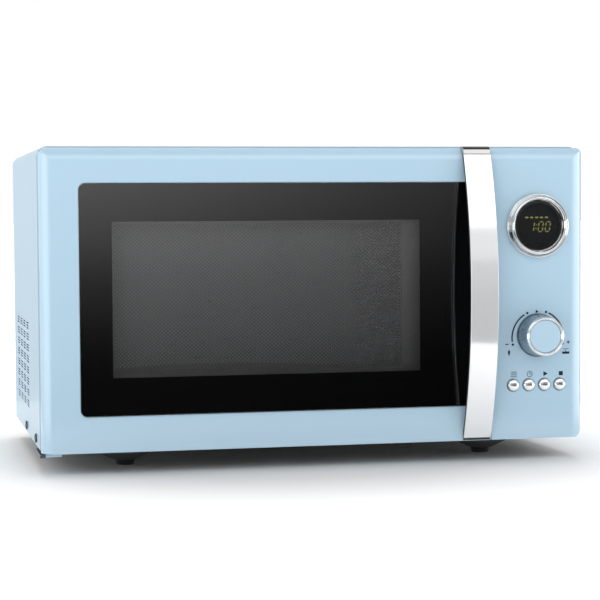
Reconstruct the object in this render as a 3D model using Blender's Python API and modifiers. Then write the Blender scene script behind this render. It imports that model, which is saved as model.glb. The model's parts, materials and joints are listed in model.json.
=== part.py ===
"""Countertop microwave oven with a grill, as an assembly of separate parts.

Metres, +Z up. The door faces -Y, and +X is to the right seen from the front. The origin is on the
surface that the oven stands on, under the middle of its outline.
"""

import math

import bmesh
import bpy
from mathutils import Matrix, Vector

# ---- Driving dimensions -------------------------------------------------------------------------
BODY_WIDTH = 0.485
TOP_Z = 0.280
FACE_Y = -0.1615            # front face of the door and the control panel
CABINET_BACK = 0.1485       # rear edge of the painted cabinet
REAR_Y = 0.1875             # ends of the spacers that keep the oven off the wall

GAP = 0.0003                # clearance between pieces that touch
SHEET = 0.001               # sheet metal
HALF_WIDTH = BODY_WIDTH / 2

# Door and control panel
FASCIA_Z = (0.020, 0.2786)
FASCIA_DEPTH = 0.020
FASCIA_BACK = FACE_Y + FASCIA_DEPTH
EDGE_R = 0.0115             # rounding of the front edges
TOP_CORNER_R = 0.006
LOW_CORNER_R = 0.009
SHARP_R = 0.0008
SKIN = 0.0035               # moulding thickness behind the front face
DOOR_RIGHT = 0.1530
PANEL_LEFT = 0.1538
PIN_X = -HALF_WIDTH + EDGE_R
PIN_Y = FACE_Y + EDGE_R
PIN_R = 0.0025
PIN_HOLE_R = 0.0028
HINGE_BLOCK_X = -0.2190     # right side of the solid stile that holds the hinge pins
UPPER_ARM_Z = (0.2756, 0.2771)

# Door glass and what is behind it
GLASS_X = (-0.2095, 0.1460)
GLASS_Z = (0.0505, 0.2485)
GLASS_CORNER_R = 0.006
GLASS_THICK = 0.0032
GLASS_RECESS = 0.0005
PAN_X = (-0.2175, 0.1255)
PAN_Z = (0.0270, 0.2660)
PAN_Y = (-0.1565, -0.1420)
COVER_X = (-0.2180, 0.1495)
COVER_Z = (0.0250, 0.2720)
COVER_Y = (-0.1412, -0.1377)
COVER_WINDOW_X = (-0.1900, 0.0980)
COVER_WINDOW_Z = (0.0660, 0.2320)

# Handle, a bowed band
HANDLE_X = (0.1273, 0.1523)
HANDLE_Z = (0.0205, 0.2796)
HANDLE_THICK = 0.004
HANDLE_BOW = 0.026          # how far its middle stands out from the door
HANDLE_END_PROUD = 0.0018
HANDLE_WRAP_DEG = 118       # where its top end stops on the door's rounded edge; 90 is straight up
HANDLE_TOP_FLAT = (0.0010, 0.0055)    # the flat of that end, from the face backward

# Latch
LATCH_X = 0.1355
LATCH_HOOK_Z = (0.090, 0.200)
LATCH_TRAVEL = 0.004
LATCH_BAR_Y = (-0.1560, -0.1530)
LATCH_BAR_Z = (0.080, 0.245)
SPRING_R = 0.0030
SPRING_WIRE_R = 0.0005
SPRING_TURNS = 6

# Cooking cavity
CAVITY_X = (-0.2030, 0.1110)
CAVITY_Z = (0.0400, 0.2520)
CAVITY_Y = (-0.1365, 0.1705)
CAVITY_CORNER_R = 0.006
FRONT_PLATE_Y = (-0.1370, -0.1360)
FRONT_PLATE_X = (-0.2395, 0.1505)
FRONT_PLATE_Z = (0.0240, 0.2750)

PORT_Y = (-0.0250, 0.0550)   # microwave port in the cavity's right wall
PORT_Z = (0.1350, 0.1950)
WAVEGUIDE_RIGHT = 0.1480
MAGNETRON_AT = (WAVEGUIDE_RIGHT, (PORT_Y[0] + PORT_Y[1]) / 2, (PORT_Z[0] + PORT_Z[1]) / 2)
LAMP_Y = -0.0720
LAMP_Z = 0.2150
GRILL_X = (-0.1500, 0.0580)
GRILL_Y = (-0.0400, 0.0400)

# Turntable
TURN_X = (CAVITY_X[0] + CAVITY_X[1]) / 2
TURN_Y = 0.0168
TRAY_R = 0.135
WHEEL_R = 0.008
WHEEL_TRACK_R = 0.0955
WHEEL_WIDTH = 0.007
WHEEL_Z = CAVITY_Z[0] + GAP + WHEEL_R
TRAY_BOTTOM = WHEEL_Z + WHEEL_R + GAP
WHEEL_COUNT = 3

# Controls
DISPLAY_X = 0.1974
DISPLAY_Z = 0.2096
LENS_R = 0.0223
BEZEL_R = 0.02875
BEZEL_PROUD = 0.008
BEZEL_CROWN_R = 0.0257            # the raised inner ring's outside
BEZEL_GROOVE_R = 0.0263
BEZEL_GROOVE_H = 0.0028
BEZEL_FLANGE_H = 0.0038
KNOB_X = 0.1970
KNOB_Z = 0.1122
KNOB_R = 0.0185
KNOB_FACE_R = 0.0170
KNOB_PROUD = 0.022
KNOB_CAP_R = 0.01435
KNOB_RECESS = 0.0020
BUTTON_X = (0.1742, 0.1887, 0.2032, 0.2176)
BUTTON_Z = 0.0680
BUTTON_R = 0.0053
BUTTON_PROUD = 0.003
BOARD_Y = (-0.1480, -0.1464)
BOARD_FROM_FACE = BOARD_Y[0] - FACE_Y

# Casing
CABINET_BEND_R = 0.009
BASE_Z = 0.0215
FOOT_X = (-0.163, 0.168)
FOOT_FRONT_Y = -0.085
FOOT_REAR_Y = 0.110
FOOT_R = 0.0085
FOOT_H = 0.0045
BOSS_TOP_R = 0.0295
BOSS_MIDDLE_R = 0.0262
BOSS_MIDDLE_Z = 0.0122
BOSS_FOOT_R = 0.0110
DIMPLE_AT = (0.0920, -0.0880)    # shallow pressing under the transformer
DIMPLE_R = 0.0200
DIMPLE_LOW_R = 0.0090
DIMPLE_LOW_Z = 0.0095

# Side vents: groups of three short slots
VENT_COLUMNS = 4
VENT_ROWS = 8
VENT_FIRST_Y = -0.0305
VENT_PITCH_Y = 0.0370
VENT_LENGTH = 0.030
VENT_FIRST_Z = 0.0500
VENT_PITCH_Z = 0.0102
VENT_SLOT_H = 0.0013
VENT_SLOT_PITCH = 0.0024
VENT_SLOTS = 3
SCREW_Y = (-0.1052, 0.0004)
SCREW_Z = 0.0280

# Back
BULGE_X = (-0.2150, 0.1230)
BULGE_Z = (0.0290, 0.2640)
BULGE_BACK = 0.1785
BACK_PLATE_Y = 0.1472
GLAND_X = 0.1900
GLAND_Z = 0.0600
FAN_X = 0.1780
FAN_Z = 0.1900
FAN_R = 0.040
REAR_SLOT_ROWS = 9
REAR_SLOT_PITCH_Z = 0.009
REAR_SLOT_OFFSET_X = 0.021
REAR_SLOT_LENGTH = 0.036
REAR_SLOT_H = 0.004

ROUND_STEPS = 18
FINE_STEPS = 30
COARSE_STEPS = 12
TOWARDS_FRONT = Matrix.Rotation(math.radians(90), 4, "X")      # local +Z to -Y
TOWARDS_LEFT = Matrix.Rotation(math.radians(-90), 4, "Y")      # local +Z to -X
TOWARDS_RIGHT = Matrix.Rotation(math.radians(90), 4, "Y")      # local +Z to +X
UPRIGHT = Matrix.Identity(4)
TO_PLANE = {
    "XY": UPRIGHT,
    "XZ": TOWARDS_FRONT,
    "YZ": Matrix(((0, 0, 1, 0), (1, 0, 0, 0), (0, 1, 0, 0), (0, 0, 0, 1))),
}
NORMALS = {"XY": Vector((0, 0, 1)), "XZ": Vector((0, 1, 0)), "YZ": Vector((1, 0, 0))}

# ---- Materials: name -> colour, roughness, metallic ----------------------------------------------
FINISHES = {
    "painted_steel": ((0.42, 0.62, 0.74), 0.35, 0.0),
    "painted_plastic": ((0.42, 0.62, 0.74), 0.30, 0.0),
    "cap_paint": ((0.55, 0.72, 0.80), 0.35, 0.0),
    "chrome": ((0.80, 0.80, 0.82), 0.08, 1.0),
    "brushed_steel": ((0.55, 0.58, 0.62), 0.30, 1.0),
    "stainless": ((0.60, 0.60, 0.60), 0.35, 1.0),
    "zinc_plate": ((0.50, 0.51, 0.52), 0.45, 1.0),
    "base_steel": ((0.10, 0.10, 0.11), 0.60, 0.6),
    "black_glass": ((0.01, 0.01, 0.01), 0.05, 0.0),
    "lens": ((0.01, 0.01, 0.01), 0.10, 0.0),
    "black_plastic": ((0.03, 0.03, 0.03), 0.50, 0.0),
    "grey_plastic": ((0.30, 0.30, 0.31), 0.50, 0.0),
    "white_plastic": ((0.75, 0.75, 0.73), 0.45, 0.0),
    "rubber": ((0.02, 0.02, 0.02), 0.80, 0.0),
    "tray_glass": ((0.75, 0.80, 0.80), 0.05, 0.0),
    "mica": ((0.55, 0.48, 0.36), 0.60, 0.0),
    "copper": ((0.60, 0.30, 0.15), 0.35, 1.0),
    "lamination": ((0.25, 0.25, 0.26), 0.55, 0.8),
    "board": ((0.03, 0.18, 0.08), 0.50, 0.0),
    "quartz": ((0.70, 0.68, 0.64), 0.30, 0.0),
    "lamp_glass": ((0.85, 0.85, 0.80), 0.10, 0.0),
}

ASSEMBLY = "microwave_oven"
CUTTERS = "cutters"


# ---- Scene helpers -------------------------------------------------------------------------------
def start_scene():
    """Empties the scene and makes the collections for the parts and for their cutters."""
    for old in list(bpy.data.objects):
        bpy.data.objects.remove(old)
    for name in (ASSEMBLY, CUTTERS):
        group = bpy.data.collections.new(name)
        bpy.context.scene.collection.children.link(group)


def finish(name):
    """The named material, made when it is first asked for."""
    found = bpy.data.materials.get(name)
    if found:
        return found
    colour, roughness, metallic = FINISHES[name]
    made = bpy.data.materials.new(name)
    made.use_nodes = True
    shader = made.node_tree.nodes["Principled BSDF"]
    shader.inputs["Base Color"].default_value = (*colour, 1.0)
    shader.inputs["Roughness"].default_value = roughness
    shader.inputs["Metallic"].default_value = metallic
    return made


def add_object(name, mesh, group):
    obj = bpy.data.objects.new(name, mesh)
    bpy.data.collections[group].objects.link(obj)
    if group == CUTTERS:
        obj.hide_render = True
        obj.display_type = "WIRE"
    return obj


def from_bmesh(name, shape, group):
    bmesh.ops.recalc_face_normals(shape, faces=shape.faces)
    mesh = bpy.data.meshes.new(name)
    shape.to_mesh(mesh)
    shape.free()
    return add_object(name, mesh, group)


def as_part(obj, name, finish_name, smooth_angle=None):
    """Turns a helper's object into a finished part with its name and its own material."""
    obj.name = name
    obj.data.materials.clear()
    own = finish(finish_name).copy()
    own.name = name + "_finish"
    obj.data.materials.append(own)
    if smooth_angle:
        obj.data.shade_smooth()
        obj.data.set_sharp_from_angle(angle=math.radians(smooth_angle))
    return obj


def with_origin(obj, origin):
    """Moves an object's origin onto its joint's axis and leaves its shape where it is."""
    origin = Vector(origin)
    inverse = obj.matrix_world.inverted()
    local = inverse @ origin
    obj.data.transform(Matrix.Translation(-local))
    obj.matrix_world = obj.matrix_world @ Matrix.Translation(local)
    return obj


def boolean(obj, other, operation):
    step = obj.modifiers.new(operation.lower(), "BOOLEAN")
    step.operation = operation
    step.solver = "EXACT"
    step.object = other
    return obj


def cut(obj, *cutters):
    for cutter in cutters:
        boolean(obj, cutter, "DIFFERENCE")
    return obj


def join(obj, *others):
    for other in others:
        boolean(obj, other, "UNION")
    return obj


# ---- Shape helpers -------------------------------------------------------------------------------
def add_box(shape, low, high):
    """Adds one box to a bmesh."""
    size = [high[i] - low[i] for i in range(3)]
    centre = [(high[i] + low[i]) / 2 for i in range(3)]
    place = Matrix.Translation(centre) @ Matrix.Diagonal((*size, 1.0))
    return bmesh.ops.create_cube(shape, size=1.0, matrix=place)["verts"]


def box(name, x, y, z, group=ASSEMBLY, rounding=0.0, rounding_steps=2, edges="all"):
    """A box between three pairs of limits, with its edges along one axis or all of them rounded."""
    shape = bmesh.new()
    add_box(shape, (x[0], y[0], z[0]), (x[1], y[1], z[1]))
    if rounding:
        axis = {"x": 0, "y": 1, "z": 2}.get(edges)
        chosen = [edge for edge in shape.edges if axis is None or runs_along(edge, axis)]
        bmesh.ops.bevel(shape, geom=chosen, offset=rounding, segments=rounding_steps,
                        profile=0.5, affect="EDGES")
    return from_bmesh(name, shape, group)


def runs_along(edge, axis):
    step = edge.verts[1].co - edge.verts[0].co
    return abs(step[axis]) > 0.99 * step.length


def boxes(name, limits, group=CUTTERS):
    """Several separate boxes as one object, for cutting a row of slots at once."""
    shape = bmesh.new()
    for x, y, z in limits:
        add_box(shape, (x[0], y[0], z[0]), (x[1], y[1], z[1]))
    return from_bmesh(name, shape, group)


def turned(name, profile, centre, direction=UPRIGHT, steps=ROUND_STEPS, group=ASSEMBLY, closed=False):
    """A turned piece. The profile is (radius, height) down its outer side, top to bottom."""
    shape = bmesh.new()
    points = [shape.verts.new((radius, 0.0, height)) for radius, height in profile]
    for first, second in zip(points, points[1:]):
        shape.edges.new((first, second))
    if closed:
        shape.edges.new((points[-1], points[0]))
    mesh = bpy.data.meshes.new(name)
    shape.to_mesh(mesh)
    shape.free()
    obj = add_object(name, mesh, group)
    screw = obj.modifiers.new("turn", "SCREW")
    screw.steps = steps
    screw.render_steps = steps
    screw.use_merge_vertices = True
    screw.merge_threshold = 0.00001
    obj.matrix_world = Matrix.Translation(centre) @ direction
    return baked(obj)


def baked(obj):
    """Applies an object's modifiers, so that it can be cut, joined or moved as a plain mesh."""
    depsgraph = bpy.context.evaluated_depsgraph_get()
    mesh = bpy.data.meshes.new_from_object(obj.evaluated_get(depsgraph))
    if obj.type == "MESH":
        obj.modifiers.clear()
        obj.data = mesh
        return obj
    welded = bmesh.new()
    welded.from_mesh(mesh)
    bmesh.ops.remove_doubles(welded, verts=welded.verts, dist=0.00001)
    welded.to_mesh(mesh)
    welded.free()
    made = add_object(obj.name + "_mesh", mesh, obj.users_collection[0].name)
    made.matrix_world = obj.matrix_world
    bpy.data.objects.remove(obj)
    return made


def disc(name, radius, low, high, centre, direction=UPRIGHT, steps=ROUND_STEPS, group=ASSEMBLY):
    """A plain cylinder between two heights along its direction."""
    profile = [(0.0, high), (radius, high), (radius, low), (0.0, low)]
    return turned(name, profile, centre, direction, steps, group)


def ring(name, inner, outer, low, high, centre, direction=UPRIGHT, steps=ROUND_STEPS, group=ASSEMBLY):
    """A plain ring between two heights along its direction."""
    profile = [(outer, high), (outer, low), (inner, low), (inner, high)]
    return turned(name, profile, centre, direction, steps, group, closed=True)


def extruded(name, outline, plane, low, high, group=ASSEMBLY):
    """A flat outline in the XY, XZ or YZ plane, extruded between two limits along the third axis."""
    curve = bpy.data.curves.new(name, "CURVE")
    curve.dimensions = "2D"
    curve.fill_mode = "BOTH"
    curve.extrude = (high - low) / 2
    spline = curve.splines.new("POLY")
    spline.points.add(len(outline) - 1)
    for point, (across, up) in zip(spline.points, outline):
        point.co = (across, up, 0.0, 1.0)
    spline.use_cyclic_u = True
    obj = add_object(name, curve, group)
    obj.matrix_world = Matrix.Translation(NORMALS[plane] * (high + low) / 2) @ TO_PLANE[plane]
    return baked(obj)


def wire(name, points, radius, sides=1, group=ASSEMBLY):
    """A round bar or wire through the points, with closed ends."""
    curve = bpy.data.curves.new(name, "CURVE")
    curve.dimensions = "3D"
    curve.bevel_depth = radius
    curve.bevel_resolution = sides
    curve.use_fill_caps = True
    spline = curve.splines.new("POLY")
    spline.points.add(len(points) - 1)
    for point, place in zip(spline.points, points):
        point.co = (*place, 1.0)
    return baked(add_object(name, curve, group))


def arc(centre, radius, start_deg, end_deg, steps):
    """Points of an arc in a plane, both ends included."""
    angles = [math.radians(start_deg + (end_deg - start_deg) * i / steps) for i in range(steps + 1)]
    return [(centre[0] + radius * math.cos(a), centre[1] + radius * math.sin(a)) for a in angles]


def rounded_outline(x, z, radii, steps):
    """A rectangle with its own radius at each corner: low left, low right, top right, top left."""
    corners = [
        ((x[0] + radii[0], z[0] + radii[0]), 180),
        ((x[1] - radii[1], z[0] + radii[1]), 270),
        ((x[1] - radii[2], z[1] - radii[2]), 0),
        ((x[0] + radii[3], z[1] - radii[3]), 90),
    ]
    points = []
    for (centre, start), radius in zip(corners, radii):
        points += arc(centre, radius, start, start + 90, steps)
    return points


def window(name, x, y, z, radius, steps=3, group=CUTTERS):
    """A cutter or panel with a rounded outline seen from the front."""
    return extruded(name, rounded_outline(x, z, (radius,) * 4, steps), "XZ", y[0], y[1], group)


def lofted(name, rings, group=ASSEMBLY):
    """Skins a stack of outlines in XZ planes, each (y, points), from the back one to the front one."""
    shape = bmesh.new()
    rows = [[shape.verts.new((x, y, z)) for x, z in points] for y, points in rings]
    for back, front in zip(rows, rows[1:]):
        for i in range(len(back)):
            j = (i + 1) % len(back)
            shape.faces.new((back[i], back[j], front[j], front[i]))
    shape.faces.new(reversed(rows[0]))
    shape.faces.new(rows[-1])
    return from_bmesh(name, shape, group)


# ---- Door and control panel mouldings ------------------------------------------------------------
def front_rounding(steps=5):
    """(y, inset) pairs over the rounded front edge, from the side to the face."""
    angles = [math.radians(90 * i / steps) for i in range(steps + 1)]
    return [(PIN_Y - EDGE_R * math.sin(a), EDGE_R * (1 - math.cos(a))) for a in angles]


def rear_rounding(steps=3):
    """(y, inset) pairs behind the pin: the hinge edge stays within the rounding's radius of the pin."""
    depth = FASCIA_BACK - PIN_Y
    reaches = [depth * (steps - i) / steps for i in range(steps)]
    return [(PIN_Y + reach, EDGE_R - math.sqrt(EDGE_R ** 2 - reach ** 2)) for reach in reaches]


def fascia_ring(x, left, right, top, radii):
    """One outline of a front moulding, drawn in by an inset at its left, right and top."""
    inset = max(left, right, top)
    shrunk = [max(radius - inset, SHARP_R) for radius in radii]
    limits = (x[0] + left, x[1] - right), (FASCIA_Z[0], FASCIA_Z[1] - top)
    return rounded_outline(*limits, shrunk, 3)


def door_frame():
    limits = (-HALF_WIDTH, DOOR_RIGHT)
    radii = (SHARP_R, SHARP_R, SHARP_R, TOP_CORNER_R)
    rings = [(y, fascia_ring(limits, inset, 0, 0, radii)) for y, inset in rear_rounding()]
    rings += [(y, fascia_ring(limits, inset, 0, inset, radii)) for y, inset in front_rounding()]
    frame = lofted("door_frame", rings)
    past = 0.01
    pocket = box("door_pocket", (HINGE_BLOCK_X, DOOR_RIGHT - SKIN), (FACE_Y + SKIN, FASCIA_BACK + past),
                 (FASCIA_Z[0] + SKIN, FASCIA_Z[1] - SKIN - SHEET), CUTTERS)
    opening = window("door_opening", GLASS_X, (FACE_Y - past, FACE_Y + 2 * SKIN), GLASS_Z, GLASS_CORNER_R)
    lower_hole = disc("lower_pin_hole", PIN_HOLE_R, -past, past, (PIN_X, PIN_Y, FASCIA_Z[0]),
                      steps=COARSE_STEPS, group=CUTTERS)
    upper_hole = disc("upper_pin_hole", PIN_HOLE_R, -0.0135, 0, (PIN_X, PIN_Y, FASCIA_Z[1]),
                      steps=COARSE_STEPS, group=CUTTERS)
    notch = box("upper_hinge_notch", (-HALF_WIDTH - past, PIN_X + EDGE_R),
                (PIN_Y - 0.0056, FASCIA_BACK + past), (UPPER_ARM_Z[0] - 0.0004, FASCIA_Z[1] + past), CUTTERS)
    cut(frame, pocket, opening, lower_hole, upper_hole, notch)
    return with_origin(as_part(frame, "door_frame", "painted_plastic", 35), (PIN_X, PIN_Y, 0))


def door_glass():
    front = FACE_Y + GLASS_RECESS
    x = (GLASS_X[0] + GAP, GLASS_X[1] - GAP)
    z = (GLASS_Z[0] + GAP, GLASS_Z[1] - GAP)
    glass = window("door_glass", x, (front, front + GLASS_THICK), z, GLASS_CORNER_R - GAP, group=ASSEMBLY)
    return with_origin(as_part(glass, "door_glass", "black_glass"), (PIN_X, PIN_Y, 0))


def door_inner_plate():
    """The pressed steel pan that carries the window's screen."""
    pan = box("door_inner_plate", PAN_X, PAN_Y, PAN_Z)
    inside = box("pan_inside", (PAN_X[0] + SHEET, PAN_X[1] - SHEET), (PAN_Y[0] - SHEET, PAN_Y[1] - SHEET),
                 (PAN_Z[0] + SHEET, PAN_Z[1] - SHEET), CUTTERS)
    return with_origin(as_part(cut(pan, inside), "door_inner_plate", "zinc_plate"), (PIN_X, PIN_Y, 0))


def choke_cover():
    """The plastic cover on the door's inside, with a window and two slots for the latch hooks."""
    cover = box("choke_cover", COVER_X, COVER_Y, COVER_Z)
    through = (COVER_Y[0] - SHEET, COVER_Y[1] + SHEET)
    view = window("cover_window", COVER_WINDOW_X, through, COVER_WINDOW_Z, GLASS_CORNER_R)
    cut(cover, view, hook_slots("cover_slots", through))
    return with_origin(as_part(cover, "choke_cover", "grey_plastic"), (PIN_X, PIN_Y, 0))


def hook_slots(name, y, grow=0.0):
    """Cutters around the two latch hooks, with room for the hooks' lift and for the door's swing."""
    x = (LATCH_X - 0.0050 - grow, LATCH_X + 0.0065 + grow)
    limits = [(x, y, (z - 0.0070 - grow, z + 0.0070 + LATCH_TRAVEL + grow)) for z in LATCH_HOOK_Z]
    return boxes(name, limits)


def handle():
    """A band bowed forward, with both ends resting on the door and the top one over its rounded edge."""
    middle = (HANDLE_Z[0] + HANDLE_Z[1]) / 2
    half = (HANDLE_Z[1] - HANDLE_Z[0]) / 2
    sagitta = HANDLE_BOW - HANDLE_END_PROUD
    radius = (half ** 2 + sagitta ** 2) / (2 * sagitta)
    centre = (FACE_Y - HANDLE_BOW + radius, middle)
    outer_span = math.degrees(math.asin((half - 0.0020) / radius))
    inner_radius = radius - HANDLE_THICK
    rest_y = FACE_Y - GAP
    inner_span = math.degrees(math.acos((centre[0] - rest_y) / inner_radius))
    over_top = EDGE_R + GAP
    outline = arc(centre, radius, 180 + outer_span, 180 - outer_span, 20)
    outline += [(FACE_Y + depth, HANDLE_Z[1]) for depth in HANDLE_TOP_FLAT]
    outline += arc((PIN_Y, FASCIA_Z[1] - EDGE_R), over_top, HANDLE_WRAP_DEG, 180, 4)
    outline += arc(centre, inner_radius, 180 - inner_span, 180 + inner_span, 20)
    outline += [(rest_y, HANDLE_Z[0])]
    band = extruded("handle", outline, "YZ", *HANDLE_X)
    return with_origin(as_part(band, "handle", "chrome", 35), (PIN_X, PIN_Y, 0))


def latch_hook():
    """A vertical bar inside the door with two hooks that reach through the front plate."""
    half = 0.0015
    bar = box("latch_hook", (LATCH_X - 0.0040, LATCH_X + 0.0040), LATCH_BAR_Y, LATCH_BAR_Z)
    tip = FRONT_PLATE_Y[1] + 0.020
    for z in LATCH_HOOK_Z:
        root = LATCH_BAR_Y[0] + 0.0010
        outline = [(root, z - 0.004), (tip - 0.006, z - 0.004), (tip - 0.006, z - 0.0060),
                   (tip - 0.003, z - 0.0060), (tip, z), (tip - 0.003, z + 0.004), (root, z + 0.004)]
        join(bar, extruded("hook", outline, "YZ", LATCH_X - half, LATCH_X + half, CUTTERS))
    return as_part(bar, "latch_hook", "white_plastic")


def latch_spring():
    """A coil spring that pushes the latch bar down, seated under the door's top wall."""
    low = LATCH_BAR_Z[1] + GAP + SPRING_WIRE_R
    high = FASCIA_Z[1] - SKIN - SHEET - GAP - SPRING_WIRE_R
    per_turn = 8
    count = SPRING_TURNS * per_turn
    centre_y = (LATCH_BAR_Y[0] + LATCH_BAR_Y[1]) / 2 + 0.0020
    points = []
    for i in range(count + 1):
        angle = 2 * math.pi * i / per_turn
        x = LATCH_X + SPRING_R * math.cos(angle)
        points.append((x, centre_y + SPRING_R * math.sin(angle), low + (high - low) * i / count))
    return as_part(wire("latch_spring", points, SPRING_WIRE_R, 0), "latch_spring", "stainless", 40)


def control_panel():
    limits = (PANEL_LEFT, HALF_WIDTH)
    radii = (SHARP_R, LOW_CORNER_R, TOP_CORNER_R, SHARP_R)
    rings = [(FASCIA_BACK, fascia_ring(limits, 0, 0, 0, radii))]
    rings += [(y, fascia_ring(limits, 0, inset, inset, radii)) for y, inset in front_rounding()]
    panel = lofted("control_panel", rings)
    past = 0.01
    wall = SKIN + 0.0005
    back = FASCIA_BACK + past
    right = HALF_WIDTH - wall
    top = FASCIA_Z[1] - wall - SHEET
    pocket = box("panel_pocket", (PANEL_LEFT + SKIN, right), (FACE_Y + 2 * SKIN, back),
                 (FASCIA_Z[0] + SKIN, top), CUTTERS, rounding=0.006, edges="y")
    front_pocket = box("panel_front_pocket", (PANEL_LEFT + SKIN, right - SKIN), (FACE_Y + SKIN, back),
                       (FASCIA_Z[0] + SKIN, top - SKIN), CUTTERS)
    knob_at = (KNOB_X, FACE_Y, KNOB_Z)
    holes = [
        disc("display_hole", LENS_R - 0.0023, -past, past, (DISPLAY_X, FACE_Y, DISPLAY_Z), TOWARDS_FRONT,
             group=CUTTERS),
        disc("knob_recess", KNOB_R + 0.0007, -KNOB_RECESS, past, knob_at, TOWARDS_FRONT, group=CUTTERS),
        disc("shaft_hole", 0.0045, -past, past, knob_at, TOWARDS_FRONT, COARSE_STEPS, CUTTERS),
    ]
    for index, x in enumerate(BUTTON_X):
        holes.append(disc(f"button_hole_{index}", BUTTON_R + 0.0004, -past, past, (x, FACE_Y, BUTTON_Z),
                          TOWARDS_FRONT, 16, CUTTERS))
    return as_part(cut(panel, front_pocket, pocket, *holes), "control_panel", "painted_plastic", 35)


# ---- Controls ------------------------------------------------------------------------------------
def display():
    centre = (DISPLAY_X, FACE_Y, DISPLAY_Z)
    inner = LENS_R + GAP
    step_r = LENS_R - 0.0023
    profile = [(inner, BEZEL_PROUD - 0.0020), (inner + 0.0012, BEZEL_PROUD),
               (BEZEL_CROWN_R - 0.0007, BEZEL_PROUD), (BEZEL_CROWN_R, BEZEL_PROUD - 0.0012),
               (BEZEL_CROWN_R + 0.0002, BEZEL_GROOVE_H + 0.0006), (BEZEL_GROOVE_R, BEZEL_GROOVE_H),
               (BEZEL_GROOVE_R + 0.0005, BEZEL_FLANGE_H), (BEZEL_R - 0.0008, BEZEL_FLANGE_H),
               (BEZEL_R, BEZEL_FLANGE_H - 0.0018), (BEZEL_R, GAP), (step_r, GAP), (step_r, 0.0027),
               (inner, 0.0027)]
    bezel = turned("display_bezel", profile, centre, TOWARDS_FRONT, FINE_STEPS, closed=True)
    as_part(bezel, "display_bezel", "chrome", 30)
    lens = disc("display_lens", LENS_R, 0.0030, 0.0060, centre, TOWARDS_FRONT, FINE_STEPS)
    as_part(lens, "display_lens", "lens", 30)


def knob():
    """The turning knob, its painted cap and the shaft it turns and pushes."""
    centre = (KNOB_X, FACE_Y, KNOB_Z)
    rim = KNOB_PROUD
    bore_r = 0.0033
    cap_depth = 0.0015
    seat = rim - cap_depth
    profile = [(0.0, seat), (KNOB_CAP_R + GAP, seat), (KNOB_CAP_R + GAP, rim), (KNOB_FACE_R - 0.0010, rim),
               (KNOB_FACE_R, rim - 0.0010), (KNOB_R, 0.0030), (KNOB_R, -0.0002), (KNOB_R - 0.0020, -0.0002),
               (KNOB_R - 0.0030, rim - 0.0040), (0.0060, rim - 0.0040), (0.0060, 0.0010), (bore_r, 0.0010),
               (bore_r, rim - 0.0080), (0.0, rim - 0.0080)]
    body = turned("knob", profile, centre, TOWARDS_FRONT, FINE_STEPS)
    with_origin(as_part(body, "knob", "brushed_steel", 30), centre)
    cap = disc("knob_cap", KNOB_CAP_R, seat + GAP, rim - GAP, centre, TOWARDS_FRONT, FINE_STEPS)
    with_origin(as_part(cap, "knob_cap", "cap_paint", 30), centre)
    shaft = disc("encoder_shaft", 0.0030, -0.0105, rim - 0.0080 - GAP, centre, TOWARDS_FRONT, COARSE_STEPS)
    with_origin(as_part(shaft, "encoder_shaft", "brushed_steel", 40), centre)


def encoder():
    """The switch body behind the knob: a square can with a guide tube for the shaft."""
    centre = (KNOB_X, FACE_Y, KNOB_Z)
    half = 0.0065
    front = 0.0090
    can = box("encoder", (KNOB_X - half, KNOB_X + half), (FACE_Y + front, BOARD_Y[0] - GAP),
              (KNOB_Z - half, KNOB_Z + half))
    bore_r = 0.0033
    tube = disc("encoder_tube", 0.0042, -front - 0.0010, -0.0040, centre, TOWARDS_FRONT, 16, CUTTERS)
    bore = disc("encoder_bore", bore_r, -BOARD_FROM_FACE + 0.0010, -0.0030, centre, TOWARDS_FRONT,
                COARSE_STEPS, CUTTERS)
    return as_part(cut(join(can, tube), bore), "encoder", "zinc_plate")


def buttons():
    """Four domed push buttons, each held behind the panel by its collar."""
    for index, x in enumerate(BUTTON_X, start=1):
        centre = (x, FACE_Y, BUTTON_Z)
        collar_top = -SKIN - GAP
        profile = [(0.0, BUTTON_PROUD), (0.0026, BUTTON_PROUD - 0.0003), (0.0043, BUTTON_PROUD - 0.0011),
                   (BUTTON_R, BUTTON_PROUD - 0.0025), (BUTTON_R, collar_top), (BUTTON_R + 0.0012, collar_top),
                   (BUTTON_R + 0.0012, collar_top - 0.0012), (0.0018, collar_top - 0.0012),
                   (0.0018, -0.0095), (0.0, -0.0095)]
        button = turned("button", profile, centre, TOWARDS_FRONT, COARSE_STEPS)
        with_origin(as_part(button, f"button_{index}", "chrome", 40), centre)


def control_board():
    """The circuit board with its display unit, push switches and larger components."""
    board = box("control_board", (0.1600, 0.2360), BOARD_Y, (0.0450, 0.2500))
    back = BOARD_Y[0] + 0.0005
    join(board, box("display_unit", (DISPLAY_X - 0.018, DISPLAY_X + 0.018), (FACE_Y + 0.0045, back),
                    (DISPLAY_Z - 0.010, DISPLAY_Z + 0.010), CUTTERS))
    for index, x in enumerate(BUTTON_X):
        join(board, box(f"push_switch_{index}", (x - 0.003, x + 0.003), (FACE_Y + 0.0115, back),
                        (BUTTON_Z - 0.003, BUTTON_Z + 0.003), CUTTERS))
    behind = BOARD_Y[1] - 0.0005
    for index, (x, z, half, depth) in enumerate([(0.180, 0.160, 0.010, 0.016), (0.215, 0.165, 0.008, 0.020),
                                                 (0.200, 0.090, 0.014, 0.012)]):
        join(board, box(f"component_{index}", (x - half, x + half), (behind, behind + depth),
                        (z - half, z + half), CUTTERS))
    return as_part(board, "control_board", "board")


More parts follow.
